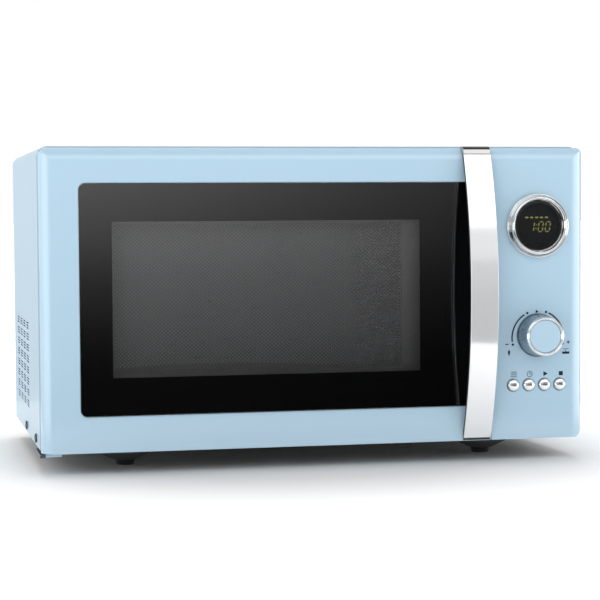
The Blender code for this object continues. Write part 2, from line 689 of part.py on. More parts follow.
# ---- Casing --------------------------------------------------------------------------------------
def outer_cabinet():
    """One painted sheet folded over the top and both sides, with the vents in its left side."""
    centre = (-HALF_WIDTH + CABINET_BEND_R, TOP_Z - CABINET_BEND_R)
    top = arc(centre, CABINET_BEND_R, 180, 90, 5)
    path = [(-HALF_WIDTH, BASE_Z)] + top
    path += [(-x, z) for x, z in reversed(path)]
    shape = bmesh.new()
    front = [shape.verts.new((x, FASCIA_BACK + 0.0005, z)) for x, z in path]
    back = [shape.verts.new((x, CABINET_BACK, z)) for x, z in path]
    for i in range(len(path) - 1):
        shape.faces.new((front[i], front[i + 1], back[i + 1], back[i]))
    mesh = bpy.data.meshes.new("outer_cabinet")
    shape.to_mesh(mesh)
    shape.free()
    cabinet = add_object("outer_cabinet", mesh, ASSEMBLY)
    wall = cabinet.modifiers.new("thickness", "SOLIDIFY")
    wall.thickness = SHEET
    wall.offset = -1.0
    wall.use_even_offset = True
    cut(cabinet, side_vents())
    for side in (-1, 1):
        for y in SCREW_Y:
            cut(cabinet, disc("cabinet_screw_hole", 0.0021, -0.003, 0.003, (side * HALF_WIDTH, y, SCREW_Z),
                              TOWARDS_RIGHT, COARSE_STEPS, CUTTERS))
    return as_part(cabinet, "outer_cabinet", "painted_steel", 35)


def side_vents():
    limits = []
    across = (-HALF_WIDTH - 0.002, -HALF_WIDTH + 0.003)
    for column in range(VENT_COLUMNS):
        y = VENT_FIRST_Y + column * VENT_PITCH_Y
        for row in range(VENT_ROWS):
            for slot in range(VENT_SLOTS):
                z = VENT_FIRST_Z + row * VENT_PITCH_Z + (slot - 1) * VENT_SLOT_PITCH
                limits.append((across, (y, y + VENT_LENGTH), (z - VENT_SLOT_H / 2, z + VENT_SLOT_H / 2)))
    return boxes("side_vents", limits)


def base_plate():
    """The bottom pan, turned up at both sides, with a pressed boss over each foot."""
    half = HALF_WIDTH - SHEET - 2 * GAP
    y = (FRONT_PLATE_Y[1] + GAP, BACK_PLATE_Y - GAP)
    flange = 0.014
    pan = box("base_plate", (-half, half), y, (BASE_Z, BASE_Z + flange))
    cut(pan, box("pan_inside", (-half + SHEET, half - SHEET), (y[0] - SHEET, y[1] + SHEET),
                 (BASE_Z + SHEET, BASE_Z + 2 * flange), CUTTERS))
    press_down(pan, DIMPLE_AT, [(DIMPLE_R, BASE_Z), (DIMPLE_LOW_R, DIMPLE_LOW_Z)])
    boss = [(BOSS_TOP_R, BASE_Z), (BOSS_MIDDLE_R, BOSS_MIDDLE_Z), (BOSS_FOOT_R, FOOT_H + GAP)]
    for place in foot_places():
        press_down(pan, place, boss)
    for x, foot_y in foot_places():
        cut(pan, disc("foot_hole", 0.0034, 0, BASE_Z, (x, foot_y, 0), steps=COARSE_STEPS, group=CUTTERS))
    for side in (-1, 1):
        for screw_y in SCREW_Y:
            cut(pan, disc("base_screw_hole", 0.0018, -0.003, 0.003, (side * half, screw_y, SCREW_Z),
                          TOWARDS_RIGHT, COARSE_STEPS, CUTTERS))
    return as_part(pan, "base_plate", "base_steel", 35)


def press_down(pan, place, profile):
    """Presses a hollow boss down from the pan. The profile is its outer side, top to bottom."""
    top_r, top_z = profile[0]
    low_z = profile[-1][1]
    outer = [(0.0, top_z + SHEET / 2), (top_r, top_z + SHEET / 2)] + profile[1:] + [(0.0, low_z)]
    hollow = [(0.0, top_z + 4 * SHEET), (top_r - SHEET, top_z + 4 * SHEET), (top_r - SHEET, top_z)]
    hollow += [(radius - SHEET, z + SHEET) for radius, z in profile[1:]] + [(0.0, low_z + SHEET)]
    join(pan, turned("boss", outer, (*place, 0), group=CUTTERS))
    cut(pan, turned("boss_hollow", hollow, (*place, 0), group=CUTTERS))


def foot_places():
    return [(x, y) for y in (FOOT_FRONT_Y, FOOT_REAR_Y) for x in FOOT_X]


def feet():
    """Rubber feet with a stud pushed up through the boss."""
    names = ("foot_front_left", "foot_front_right", "foot_rear_left", "foot_rear_right")
    for name, (x, y) in zip(names, foot_places()):
        stud_r = 0.0030
        profile = [(0.0, 0.0115), (stud_r, 0.0115), (stud_r, FOOT_H), (FOOT_R, FOOT_H),
                   (FOOT_R - 0.0010, 0.0), (0.0, 0.0)]
        as_part(turned(name, profile, (x, y, 0), steps=20), name, "rubber", 40)


def cabinet_screws():
    """Pan-head screws through the cabinet's sides into the base's flanges."""
    head_r = 0.0040
    head_h = 0.0015
    for side, word, direction in ((-1, "left", TOWARDS_LEFT), (1, "right", TOWARDS_RIGHT)):
        for y, place in zip(SCREW_Y, ("front", "rear")):
            name = f"screw_{word}_{place}"
            profile = [(0.0, head_h + GAP), (head_r - 0.0010, head_h + GAP), (head_r, 0.0008), (head_r, GAP),
                       (0.0014, GAP), (0.0014, -0.0060), (0.0, -0.0060)]
            screw = turned(name, profile, (side * HALF_WIDTH, y, SCREW_Z), direction, COARSE_STEPS)
            as_part(screw, name, "zinc_plate", 40)


def back_plate():
    """The rear sheet, pressed outward behind the cavity, with the fan's intake slots."""
    half = HALF_WIDTH - SHEET - 2 * GAP
    outline = rounded_outline((-half, half), (BASE_Z + 0.0005, TOP_Z - SHEET - 2 * GAP),
                              (SHARP_R, SHARP_R, CABINET_BEND_R, CABINET_BEND_R), 4)
    plate = extruded("back_plate", outline, "XZ", BACK_PLATE_Y, BACK_PLATE_Y + SHEET)
    bulge = tapered_box("bulge", BULGE_X, (BACK_PLATE_Y + SHEET / 2, BULGE_BACK), BULGE_Z, 0.0)
    hollow = tapered_box("bulge_inside", BULGE_X, (BACK_PLATE_Y - SHEET, BULGE_BACK - SHEET), BULGE_Z, SHEET)
    join(plate, bulge)
    slots = []
    through = grown((BACK_PLATE_Y, BACK_PLATE_Y + SHEET), 0.002)
    for row in range(REAR_SLOT_ROWS):
        z = FAN_Z + (row - (REAR_SLOT_ROWS - 1) / 2) * REAR_SLOT_PITCH_Z
        for x in (FAN_X - REAR_SLOT_OFFSET_X, FAN_X + REAR_SLOT_OFFSET_X):
            slots.append((grown((x, x), REAR_SLOT_LENGTH / 2), through, grown((z, z), REAR_SLOT_H / 2)))
    gland_hole = disc("gland_hole", 0.0085, -0.004, 0.004, (GLAND_X, BACK_PLATE_Y, GLAND_Z),
                      TOWARDS_FRONT, 16, CUTTERS)
    cut(plate, hollow, boxes("rear_slots", slots), gland_hole)
    return as_part(plate, "back_plate", "zinc_plate")


def tapered_box(name, x, y, z, wall):
    """A cutter for the rear bulge: full size at the plate and drawn in at the back."""
    draw = 0.008
    front = rounded_outline(grown(x, -wall), grown(z, -wall), (0.014,) * 4, 3)
    back = rounded_outline(grown(x, -wall - draw), grown(z, -wall - draw), (0.010,) * 4, 3)
    return lofted(name, [(y[1], back), (y[0], front)], CUTTERS)


def rear_spacers():
    for name, x in (("rear_spacer_left", -0.150), ("rear_spacer_right", 0.060)):
        spacer = box(name, (x - 0.012, x + 0.012), (BULGE_BACK + GAP, REAR_Y), (0.200, 0.236),
                     rounding=0.003, edges="y")
        as_part(spacer, name, "black_plastic")


def cord_gland():
    """The gland for the mains lead: a flange outside the back plate and a neck through it."""
    front = 0.0115
    flange_r = 0.0120
    neck_r = 0.0080
    bore_r = 0.0042
    profile = [(flange_r, 0.0), (neck_r, 0.0), (neck_r, -SHEET - 2 * GAP), (flange_r, -SHEET - 2 * GAP),
               (flange_r, -SHEET - 0.0040), (0.0070, -front), (bore_r, -front), (bore_r, 0.0030),
               (flange_r, 0.0030)]
    centre = (GLAND_X, BACK_PLATE_Y - GAP, GLAND_Z)
    gland = turned("cord_gland", profile, centre, TOWARDS_FRONT, 16, closed=True)
    return as_part(gland, "cord_gland", "black_plastic", 35)


# ---- Cooking cavity ------------------------------------------------------------------------------
def cavity():
    """The stainless box, open at the front, with its corners rounded."""
    low_y = CAVITY_Y[0] - 0.05
    outer = box("cavity", grown(CAVITY_X, SHEET), (low_y, CAVITY_Y[1] + SHEET), grown(CAVITY_Z, SHEET),
                rounding=CAVITY_CORNER_R + SHEET)
    inner = box("cavity_inside", CAVITY_X, (low_y - 0.01, CAVITY_Y[1]), CAVITY_Z, CUTTERS,
                rounding=CAVITY_CORNER_R)
    front = box("cavity_front", (-1, 1), (-1, CAVITY_Y[0] + 0.0008), (-1, 1), CUTTERS)
    cut(outer, inner, front)
    floor_at = (TURN_X, TURN_Y, CAVITY_Z[0])
    cut(outer, disc("shaft_hole", 0.0070, -0.003, 0.003, floor_at, steps=16, group=CUTTERS))
    cut(outer, box("microwave_port", (CAVITY_X[1] - 0.005, CAVITY_X[1] + 0.005), PORT_Y, PORT_Z, CUTTERS))
    cut(outer, boxes("grill_slots", grill_slots()))
    cut(outer, boxes("lamp_holes", lamp_holes()))
    return as_part(outer, "cavity", "stainless", 35)


def grown(limits, by):
    return (limits[0] - by, limits[1] + by)


def grill_slots():
    """Slots in the ceiling that let the grill's heat through."""
    count = 11
    pitch = (GRILL_X[1] - GRILL_X[0] - 0.020) / (count - 1)
    z = grown((CAVITY_Z[1], CAVITY_Z[1]), 0.004)
    starts = [GRILL_X[0] + 0.006 + i * pitch for i in range(count)]
    return [((x, x + 0.008), (GRILL_Y[0] + 0.012, GRILL_Y[1] - 0.012), z) for x in starts]


def lamp_holes():
    """Small square holes between the lamp and the cavity."""
    x = grown((CAVITY_X[1], CAVITY_X[1]), 0.004)
    half = 0.0012
    steps = (-0.006, 0.0, 0.006)
    return [(x, grown((LAMP_Y + a, LAMP_Y + a), half), grown((LAMP_Z + b, LAMP_Z + b), half))
            for a in steps for b in steps]


def front_plate():
    """The flat frame around the cavity's mouth, with slots for the latch hooks."""
    plate = box("front_plate", FRONT_PLATE_X, FRONT_PLATE_Y, FRONT_PLATE_Z)
    through = grown(FRONT_PLATE_Y, 0.002)
    mouth = window("cavity_mouth", CAVITY_X, through, CAVITY_Z, CAVITY_CORNER_R)
    return as_part(cut(plate, mouth, hook_slots("plate_slots", through)), "front_plate", "stainless")


def waveguide():
    """The channel from the magnetron to the cavity's port."""
    left = CAVITY_X[1] + SHEET + GAP
    y = grown(PORT_Y, 0.008)
    z = grown(PORT_Z, 0.008)
    duct = box("waveguide", (left, WAVEGUIDE_RIGHT), y, z)
    inside = box("waveguide_inside", (left - SHEET, WAVEGUIDE_RIGHT - SHEET), grown(y, -SHEET),
                 grown(z, -SHEET), CUTTERS)
    antenna_hole = disc("antenna_hole", 0.0115, -0.004, 0.004, MAGNETRON_AT, TOWARDS_RIGHT, 16, CUTTERS)
    as_part(cut(duct, inside, antenna_hole), "waveguide", "zinc_plate")
    cover = box("waveguide_cover", (CAVITY_X[1] - GAP - 0.0005, CAVITY_X[1] - GAP), grown(PORT_Y, 0.010),
                grown(PORT_Z, 0.010))
    as_part(cover, "waveguide_cover", "mica")


def magnetron():
    """A yoke around cooling fins, with the antenna reaching into the waveguide."""
    x, y, z = MAGNETRON_AT
    left = x + GAP
    width = 0.062
    yoke = box("magnetron", (left, left + width), grown((y, y), 0.036), grown((z, z), 0.034))
    cut(yoke, box("yoke_hollow", (left + 0.003, left + width - 0.003), grown((y, y), 0.05),
                  grown((z, z), 0.031), CUTTERS))
    for i in range(5):
        fin_x = left + 0.011 + i * 0.010
        join(yoke, box(f"fin_{i}", grown((fin_x, fin_x), 0.0006), grown((y, y), 0.030),
                       grown((z, z), 0.032), CUTTERS))
    core = disc("anode", 0.016, 0.001, width - 0.001, (left, y, z), TOWARDS_RIGHT, 10, CUTTERS)
    antenna = disc("antenna", 0.0080, -0.020, 0.002, (left, y, z), TOWARDS_RIGHT, 16, CUTTERS)
    return as_part(join(yoke, core, antenna), "magnetron", "zinc_plate")


def transformer():
    """A laminated core with two windows, and the winding around its middle limb."""
    x = (0.1400, 0.2240)
    y = (-0.0750, -0.0150)
    z = (BASE_Z + SHEET + GAP, 0.0900)
    limb = 0.013
    core = box("transformer_core", x, y, z)
    middle = (z[0] + z[1]) / 2
    for index, (low, high) in enumerate(((z[0] + limb, middle - limb), (middle + limb, z[1] - limb))):
        cut(core, box(f"core_window_{index}", grown(x, -limb), grown(y, 0.01), (low, high), CUTTERS))
    as_part(core, "transformer_core", "lamination")
    clear = 0.0006
    coil = box("transformer_coil", grown(x, -limb - clear), grown(y, 0.008),
               (z[0] + limb + clear, z[1] - limb - clear), rounding=0.004, edges="x")
    around_limb = grown((middle, middle), limb + clear)
    cut(coil, box("coil_bore", grown(x, 0.01), grown(y, clear), around_limb, CUTTERS))
    as_part(coil, "transformer_coil", "copper")


def capacitor():
    outline = [(0.1650 + a, 0.0550 + b) for a, b in stadium(0.026, 0.016, 5)]
    can = extruded("capacitor", outline, "XY", BASE_Z + SHEET + GAP, 0.1050)
    return as_part(can, "capacitor", "stainless", 35)


def stadium(half_length, radius, steps):
    """An outline with two straight sides and two round ends."""
    reach = half_length - radius
    return arc((reach, 0), radius, -90, 90, steps) + arc((-reach, 0), radius, 90, 270, steps)


def fan():
    """A square duct, a five-blade rotor in it, and the motor in front of it."""
    half = 0.050
    depth = (0.1120, 0.1400)
    x = (FAN_X - half, FAN_X + half)
    shroud = box("fan_shroud", x, depth, (FAN_Z - half, FAN_Z + half), rounding=0.004, edges="y")
    throat = disc("fan_throat", FAN_R + 0.004, -0.16, 0.16, (FAN_X, depth[0], FAN_Z), TOWARDS_FRONT,
                  group=CUTTERS)
    as_part(cut(shroud, throat), "fan_shroud", "white_plastic", 35)
    motor_y = (0.0780, 0.1000)
    motor = box("fan_motor", grown((FAN_X, FAN_X), 0.024), motor_y, (FAN_Z - 0.020, FAN_Z + 0.030))
    spindle = disc("fan_spindle", 0.0018, -0.030, 0.001, (FAN_X, motor_y[1], FAN_Z), TOWARDS_FRONT,
                   COARSE_STEPS, CUTTERS)
    as_part(join(motor, spindle), "fan_motor", "lamination")
    hub_y = (depth[0] + 0.006, depth[1] - 0.006)
    hub_profile = [(0.0120, -hub_y[0]), (0.0120, -hub_y[1]), (0.0021, -hub_y[1]), (0.0021, -hub_y[0])]
    rotor = turned("fan_blade", hub_profile, (FAN_X, 0, FAN_Z), TOWARDS_FRONT, 16, closed=True)
    for i in range(5):
        blade = box(f"blade_{i}", (0.0110, FAN_R), (-0.0005, 0.0005), (-0.011, 0.011), CUTTERS)
        pitch = Matrix.Rotation(math.radians(55), 4, "X")
        turn = Matrix.Rotation(math.radians(72 * i), 4, "Y")
        place = Matrix.Translation((FAN_X, (hub_y[0] + hub_y[1]) / 2, FAN_Z))
        blade.matrix_world = place @ turn @ pitch
        join(rotor, blade)
    rotor = baked_part(rotor)
    with_origin(as_part(rotor, "fan_blade", "white_plastic", 35), (FAN_X, 0, FAN_Z))


def baked_part(obj):
    bpy.context.view_layer.update()
    return baked(obj)


def grill():
    """A bent heating tube under a reflector, above the slots in the ceiling."""
    z = CAVITY_Z[1] + SHEET + 0.0100
    reach = 0.016
    bend = arc((GRILL_X[1] - 0.022, 0), reach, -90, 90, 8)
    left = GRILL_X[0] + 0.012
    route = [(left, -reach)] + bend + [(left, reach)]
    element = wire("grill_element", [(x, y, z) for x, y in route], 0.0040, 2)
    as_part(element, "grill_element", "quartz", 60)
    bottom = CAVITY_Z[1] + SHEET + GAP
    cover = box("grill_reflector", GRILL_X, GRILL_Y, (bottom, TOP_Z - 0.0060))
    inside = box("reflector_inside", grown(GRILL_X, -SHEET), grown(GRILL_Y, -SHEET),
                 (bottom - 0.01, TOP_Z - 0.0060 - SHEET), CUTTERS)
    as_part(cut(cover, inside), "grill_reflector", "zinc_plate")


def cavity_lamp():
    """The lamp's socket with its bulb, outside the cavity wall."""
    profile = [(0.0, -0.0020), (0.0055, -0.0035), (0.0080, -0.0080), (0.0070, -0.0140), (0.0050, -0.0180),
               (0.0095, -0.0185), (0.0095, -0.0320), (0.0, -0.0320)]
    flipped = Matrix.Rotation(math.radians(-90), 4, "Y")
    lamp = turned("cavity_lamp", profile, (CAVITY_X[1] + SHEET, LAMP_Y, LAMP_Z), flipped, 16)
    return as_part(lamp, "cavity_lamp", "lamp_glass", 40)


def latch_bracket():
    """The interlock housing behind the front plate, with a pocket for each hook."""
    y = (FRONT_PLATE_Y[1] + GAP, FRONT_PLATE_Y[1] + 0.0270)
    bracket = box("latch_bracket", (LATCH_X - 0.0080, LATCH_X + 0.0110), y, (0.070, 0.225))
    cut(bracket, hook_slots("bracket_pockets", (y[0] - 0.01, y[1] - 0.0030)))
    cut(bracket, box("bracket_middle", (LATCH_X - 0.0040, LATCH_X + 0.0200), (y[0] - 0.01, y[1] - 0.0030),
                     (0.112, 0.182), CUTTERS))
    as_part(bracket, "latch_bracket", "white_plastic")
    for name, z in zip(("lower_switch", "upper_switch"), LATCH_HOOK_Z):
        depth = (y[1] + GAP, y[1] + 0.0160)
        switch = box(name, grown((LATCH_X, LATCH_X), 0.0060), depth, grown((z, z), 0.010))
        as_part(switch, name, "black_plastic")


def hinges():
    """The fixed hinge arms: one over the door's top, one under its bottom, each with its pin."""
    half = 0.0035
    flange_y = (FRONT_PLATE_Y[1] + GAP, FRONT_PLATE_Y[1] + 0.0015)
    outline = arc((PIN_X, PIN_Y), half, 180, 360, 6)
    outline += [(PIN_X + half, flange_y[1]), (PIN_X - half, flange_y[1])]
    upper = extruded("upper_hinge", outline, "XY", *UPPER_ARM_Z)
    flange = box("upper_flange", (PIN_X - 0.006, PIN_X + 0.006), flange_y, (0.245, UPPER_ARM_Z[1]), CUTTERS)
    upper_pin = disc("upper_pin", PIN_R, -0.0100, 0.0005, (PIN_X, PIN_Y, UPPER_ARM_Z[0]), steps=COARSE_STEPS,
                     group=CUTTERS)
    as_part(join(upper, flange, upper_pin), "upper_hinge", "base_steel", 40)
    arm_x = (PIN_X - 0.006, PIN_X + 0.006)
    low = (0.0172, 0.0192)
    lower = box("lower_hinge", arm_x, (PIN_Y - 0.006, -0.1050), low)
    step = box("lower_step", arm_x, (FRONT_PLATE_Y[1] + 0.0010, -0.1050), (low[0], BASE_Z - GAP), CUTTERS)
    lower_pin = disc("lower_pin", PIN_R, -0.0010, 0.0090, (PIN_X, PIN_Y, low[1]), steps=COARSE_STEPS,
                     group=CUTTERS)
    as_part(join(lower, step, lower_pin), "lower_hinge", "base_steel", 40)


def filter_board():
    """The mains filter: a small board on the right wall with its choke and capacitor."""
    x = 0.2350
    board = box("filter_board", (x - 0.0016, x), (0.0400, 0.1050), (0.0450, 0.1050))
    join(board, box("choke", (x - 0.0200, x - 0.0011), (0.0480, 0.0680), (0.0560, 0.0760), CUTTERS))
    join(board, box("filter_capacitor", (x - 0.0160, x - 0.0011), (0.0760, 0.0980), (0.0600, 0.0900),
                    CUTTERS))
    return as_part(board, "filter_board", "board")


# ---- Turntable -----------------------------------------------------------------------------------
def turntable():
    """Motor, hub, glass tray, roller ring and its wheels."""
    at = (TURN_X, TURN_Y, 0)
    motor_top = 0.0375
    motor_profile = [(0.0, motor_top), (0.0250, motor_top), (0.0250, BASE_Z + SHEET + 0.0010),
                     (0.0, BASE_Z + SHEET + 0.0010)]
    motor = turned("turntable_motor", motor_profile, at)
    as_part(motor, "turntable_motor", "stainless", 40)
    hub_top = TRAY_BOTTOM - GAP
    floor = CAVITY_Z[0]
    hub_profile = [(0.0, hub_top), (0.0170, hub_top), (0.0190, hub_top - 0.0020), (0.0190, floor + 0.0080),
                   (0.0060, floor + 0.0060), (0.0060, motor_top + GAP), (0.0, motor_top + GAP)]
    hub = turned("turntable_hub", hub_profile, at)
    with_origin(as_part(hub, "turntable_hub", "grey_plastic", 40), at)
    bottom = TRAY_BOTTOM
    tray_profile = [(0.0, bottom + 0.0045), (0.1120, bottom + 0.0045), (0.1180, bottom + 0.0060),
                    (0.1300, bottom + 0.0125), (0.1340, bottom + 0.0130), (TRAY_R, bottom + 0.0115),
                    (0.1310, bottom + 0.0070), (0.1190, bottom + 0.0010), (0.1160, bottom), (0.0, bottom)]
    tray = turned("glass_tray", tray_profile, at, steps=32)
    with_origin(as_part(tray, "glass_tray", "tray_glass", 40), at)
    roller_ring(at)


def roller_ring(at):
    band = (0.0860, 0.0900)
    half_h = 0.0035
    carrier = ring("roller_ring", *band, WHEEL_Z - half_h, WHEEL_Z + half_h, at, steps=30)
    for i in range(WHEEL_COUNT):
        spread = Matrix.Rotation(2 * math.pi * i / WHEEL_COUNT + math.radians(90), 4, "Z")
        outward = Matrix.Translation((TURN_X, TURN_Y, WHEEL_Z)) @ spread @ TOWARDS_RIGHT
        end = WHEEL_TRACK_R + WHEEL_WIDTH / 2
        axle = turned(f"axle_{i}", [(0.0, end + 0.0016), (0.0034, end + 0.0016), (0.0034, end + GAP),
                                    (0.0020, end + GAP), (0.0020, 0.0890), (0.0, 0.0890)],
                      (0, 0, 0), steps=COARSE_STEPS, group=CUTTERS)
        axle.matrix_world = outward
        join(carrier, axle)
        wheel = ring("roller_wheel", 0.0023, WHEEL_R, end - WHEEL_WIDTH, end, (0, 0, 0), steps=16)
        wheel.matrix_world = outward
        bpy.context.view_layer.update()
        name = f"roller_wheel_{i + 1}"
        hub = outward @ Vector((0, 0, WHEEL_TRACK_R))
        with_origin(as_part(wheel, name, "white_plastic", 40), hub)
    carrier = baked_part(carrier)
    with_origin(as_part(carrier, "roller_ring", "grey_plastic", 40), at)


def main():
    start_scene()
    for make in (door_frame, door_glass, door_inner_plate, choke_cover, handle, latch_hook, latch_spring,
                 control_panel, display, knob, encoder, buttons, control_board, outer_cabinet, base_plate,
                 feet, cabinet_screws, back_plate, rear_spacers, cord_gland, cavity, front_plate, waveguide,
                 magnetron, transformer, capacitor, fan, grill, cavity_lamp, latch_bracket, hinges,
                 filter_board, turntable):
        make()


main()
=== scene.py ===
"""The looks of a countertop microwave oven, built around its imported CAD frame.

Metres, +Z up. The door faces -Y, and +X is to the right seen from the front.
"""

import json
import math

import bmesh
import bpy
from mathutils import Matrix, Vector

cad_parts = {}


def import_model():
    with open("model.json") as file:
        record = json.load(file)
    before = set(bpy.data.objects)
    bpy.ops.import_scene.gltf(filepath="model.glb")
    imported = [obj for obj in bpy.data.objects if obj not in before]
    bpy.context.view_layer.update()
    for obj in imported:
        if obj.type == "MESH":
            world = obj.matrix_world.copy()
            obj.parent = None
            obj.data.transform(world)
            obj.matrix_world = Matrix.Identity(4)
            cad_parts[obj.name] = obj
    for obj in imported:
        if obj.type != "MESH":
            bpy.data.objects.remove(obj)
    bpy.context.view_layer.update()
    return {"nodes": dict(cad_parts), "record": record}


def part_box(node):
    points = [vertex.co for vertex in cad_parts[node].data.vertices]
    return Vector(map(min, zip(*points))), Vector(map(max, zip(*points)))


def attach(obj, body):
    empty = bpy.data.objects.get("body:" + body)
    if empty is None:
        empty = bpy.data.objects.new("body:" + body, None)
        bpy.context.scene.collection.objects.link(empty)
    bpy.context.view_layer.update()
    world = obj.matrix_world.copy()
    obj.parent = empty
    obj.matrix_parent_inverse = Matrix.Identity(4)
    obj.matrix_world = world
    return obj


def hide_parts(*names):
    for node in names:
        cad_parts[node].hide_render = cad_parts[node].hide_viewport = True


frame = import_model()

# ---- Dimensions taken from the CAD ---------------------------------------------------------------
FACE_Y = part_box("control_panel")[0].y
FASCIA_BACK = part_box("control_panel")[1].y
PANEL_X = (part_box("control_panel")[0].x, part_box("control_panel")[1].x)
PANEL_Z = (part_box("control_panel")[0].z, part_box("control_panel")[1].z)
DOOR_X = (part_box("door_frame")[0].x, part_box("door_frame")[1].x)
HALF_WIDTH = PANEL_X[1]
GAP = 0.0003
SHEET = 0.001
EDGE_R = 0.0115
PANEL_EDGE_R = 0.0155
SKIN = 0.0035
PIN_X = DOOR_X[0] + EDGE_R
PIN_Y = FACE_Y + EDGE_R
GLASS_X = (-0.2095, 0.1460)
GLASS_Z = (0.0505, 0.2485)
GLASS_CORNER_R = 0.006
WINDOW_X = (-0.1813, 0.0895)
WINDOW_Z = (0.0830, 0.2156)
DISPLAY = (0.1967, 0.2096)
DISPLAY_HOLE_R = 0.0200
LENS_EDGE_R = 0.0220
BEZEL_R = 0.02875
BACKING_FRONT = 0.0034  # ahead of the face
KNOB = (0.1970, 0.1122)
KNOB_RECESS_R = 0.0192
BUTTON_X = (0.1742, 0.1887, 0.2032, 0.2176)
BUTTON_Z = 0.0680
BUTTON_HOLE_R = 0.0057
BASE_Z = 0.0215
SCREW_Y = (-0.1052, 0.0004)
SCREW_Z = 0.0280
FEET = ("foot_front_left", "foot_front_right", "foot_rear_left", "foot_rear_right")
PAST = 0.01  # how far a cutter reaches beyond what it cuts

TOWARDS_FRONT = Matrix.Rotation(math.radians(90), 4, "X")
TOWARDS_LEFT = Matrix.Rotation(math.radians(-90), 4, "Y")
TOWARDS_RIGHT = Matrix.Rotation(math.radians(90), 4, "Y")
UPRIGHT = Matrix.Identity(4)


# ---- Materials -----------------------------------------------------------------------------------
class Look:
    """One material: a Principled shader fed by procedural nodes in the object's own metres."""

    def __init__(self, name, colour, roughness, metallic=0.0, **sockets):
        self.material = bpy.data.materials.new(name)
        self.material.use_nodes = True
        self.tree = self.material.node_tree
        self.shader = self.tree.nodes["Principled BSDF"]
        self.set("Base Color", (*colour, 1.0))
        self.set("Roughness", roughness)
        self.set("Metallic", metallic)
        for socket, value in sockets.items():
            self.set(socket.replace("_", " "), value)

    def set(self, socket, value):
        self.shader.inputs[socket].default_value = value

    def node(self, kind, **settings):
        made = self.tree.nodes.new(kind)
        for setting, value in settings.items():
            setattr(made, setting, value)
        return made

    def link(self, source, target):
        self.tree.links.new(source, target)

    def place(self, stretch=(1.0, 1.0, 1.0)):
        """The object's own coordinates, stretched."""
        coordinates = self.node("ShaderNodeTexCoord")
        mapping = self.node("ShaderNodeMapping")
        mapping.inputs["Scale"].default_value = stretch
        self.link(coordinates.outputs["Object"], mapping.inputs["Vector"])
        return mapping.outputs["Vector"]

    def noise(self, scale, detail=3.0, stretch=(1.0, 1.0, 1.0)):
        pattern = self.node("ShaderNodeTexNoise")
        pattern.inputs["Scale"].default_value = scale
        pattern.inputs["Detail"].default_value = detail
        self.link(self.place(stretch), pattern.inputs["Vector"])
        return pattern.outputs["Fac"]

    def cells(self, scale, feature="F1", output="Distance", stretch=(1.0, 1.0, 1.0)):
        pattern = self.node("ShaderNodeTexVoronoi", feature=feature)
        pattern.inputs["Scale"].default_value = scale
        self.link(self.place(stretch), pattern.inputs["Vector"])
        return pattern.outputs[output]

    def stripes(self, scale, direction):
        pattern = self.node("ShaderNodeTexWave", wave_type="BANDS", bands_direction=direction)
        pattern.inputs["Scale"].default_value = scale
        self.link(self.place(), pattern.inputs["Vector"])
        return pattern.outputs["Fac"]

    def spread(self, source, low, high, spread_from=(0.3, 0.7)):
        """Maps a pattern's usual range to low and high."""
        step = self.node("ShaderNodeMapRange")
        step.inputs["From Min"].default_value = spread_from[0]
        step.inputs["From Max"].default_value = spread_from[1]
        step.inputs["To Min"].default_value = low
        step.inputs["To Max"].default_value = high
        self.link(source, step.inputs["Value"])
        return step.outputs["Result"]

    def colours(self, source, low, high, spread_from=(0.3, 0.7)):
        """Varies the base colour between two colours with a pattern."""
        mixed = self.node("ShaderNodeMix", data_type="RGBA")
        self.link(self.spread(source, 0.0, 1.0, spread_from), mixed.inputs[0])
        mixed.inputs[6].default_value = (*low, 1.0)
        mixed.inputs[7].default_value = (*high, 1.0)
        self.link(mixed.outputs[2], self.shader.inputs["Base Color"])

    def roughness(self, source, low, high, spread_from=(0.3, 0.7)):
        self.link(self.spread(source, low, high, spread_from), self.shader.inputs["Roughness"])

    def bump(self, source, height, strength=1.0):
        """Adds a relief of the given height in metres."""
        step = self.node("ShaderNodeBump")
        step.inputs["Strength"].default_value = strength
        step.inputs["Distance"].default_value = height
        self.link(source, step.inputs["Height"])
        self.link(step.outputs["Normal"], self.shader.inputs["Normal"])


def shade(colour, factor):
    return tuple(min(1.0, part * factor) for part in colour)


def enamel(name, colour, roughness, peel=0.0000004, coat=0.5):
    """Sprayed paint: a slight drift of tone, and orange peel in the gloss."""
    look = Look(name, colour, roughness, Coat_Weight=coat, Coat_Roughness=0.06)
    look.colours(look.noise(6.0, 2.0), shade(colour, 0.992), shade(colour, 1.008))
    look.roughness(look.noise(12.0, 1.0), roughness - 0.01, roughness + 0.01)
    look.bump(look.noise(300.0, 1.0), peel, 0.3)
    return look.material


def metal(name, colour, roughness, grain=(1.0, 1.0, 1.0), scale=900.0, depth=0.000004, spread=0.04):
    """Bare or plated metal with a fine grain, drawn out where the grain's factor is small."""
    look = Look(name, colour, roughness, metallic=1.0)
    look.colours(look.noise(25.0, 4.0), shade(colour, 0.95), shade(colour, 1.03))
    streaks = look.noise(scale, 4.0, grain)
    look.roughness(streaks, roughness - spread, roughness + spread)
    look.bump(streaks, depth, 0.5)
    return look.material


def moulded(name, colour, roughness, grain_height=0.00003, grain_scale=1400.0, shine=0.5):
    """Moulded plastic with a fine spark-eroded texture."""
    look = Look(name, colour, roughness, Specular_IOR_Level=shine)
    look.colours(look.noise(14.0, 3.0), shade(colour, 0.93), shade(colour, 1.05))
    look.roughness(look.noise(90.0, 3.0), roughness - 0.05, roughness + 0.06)
    look.bump(look.noise(grain_scale, 2.0), grain_height, 0.5)
    return look.material


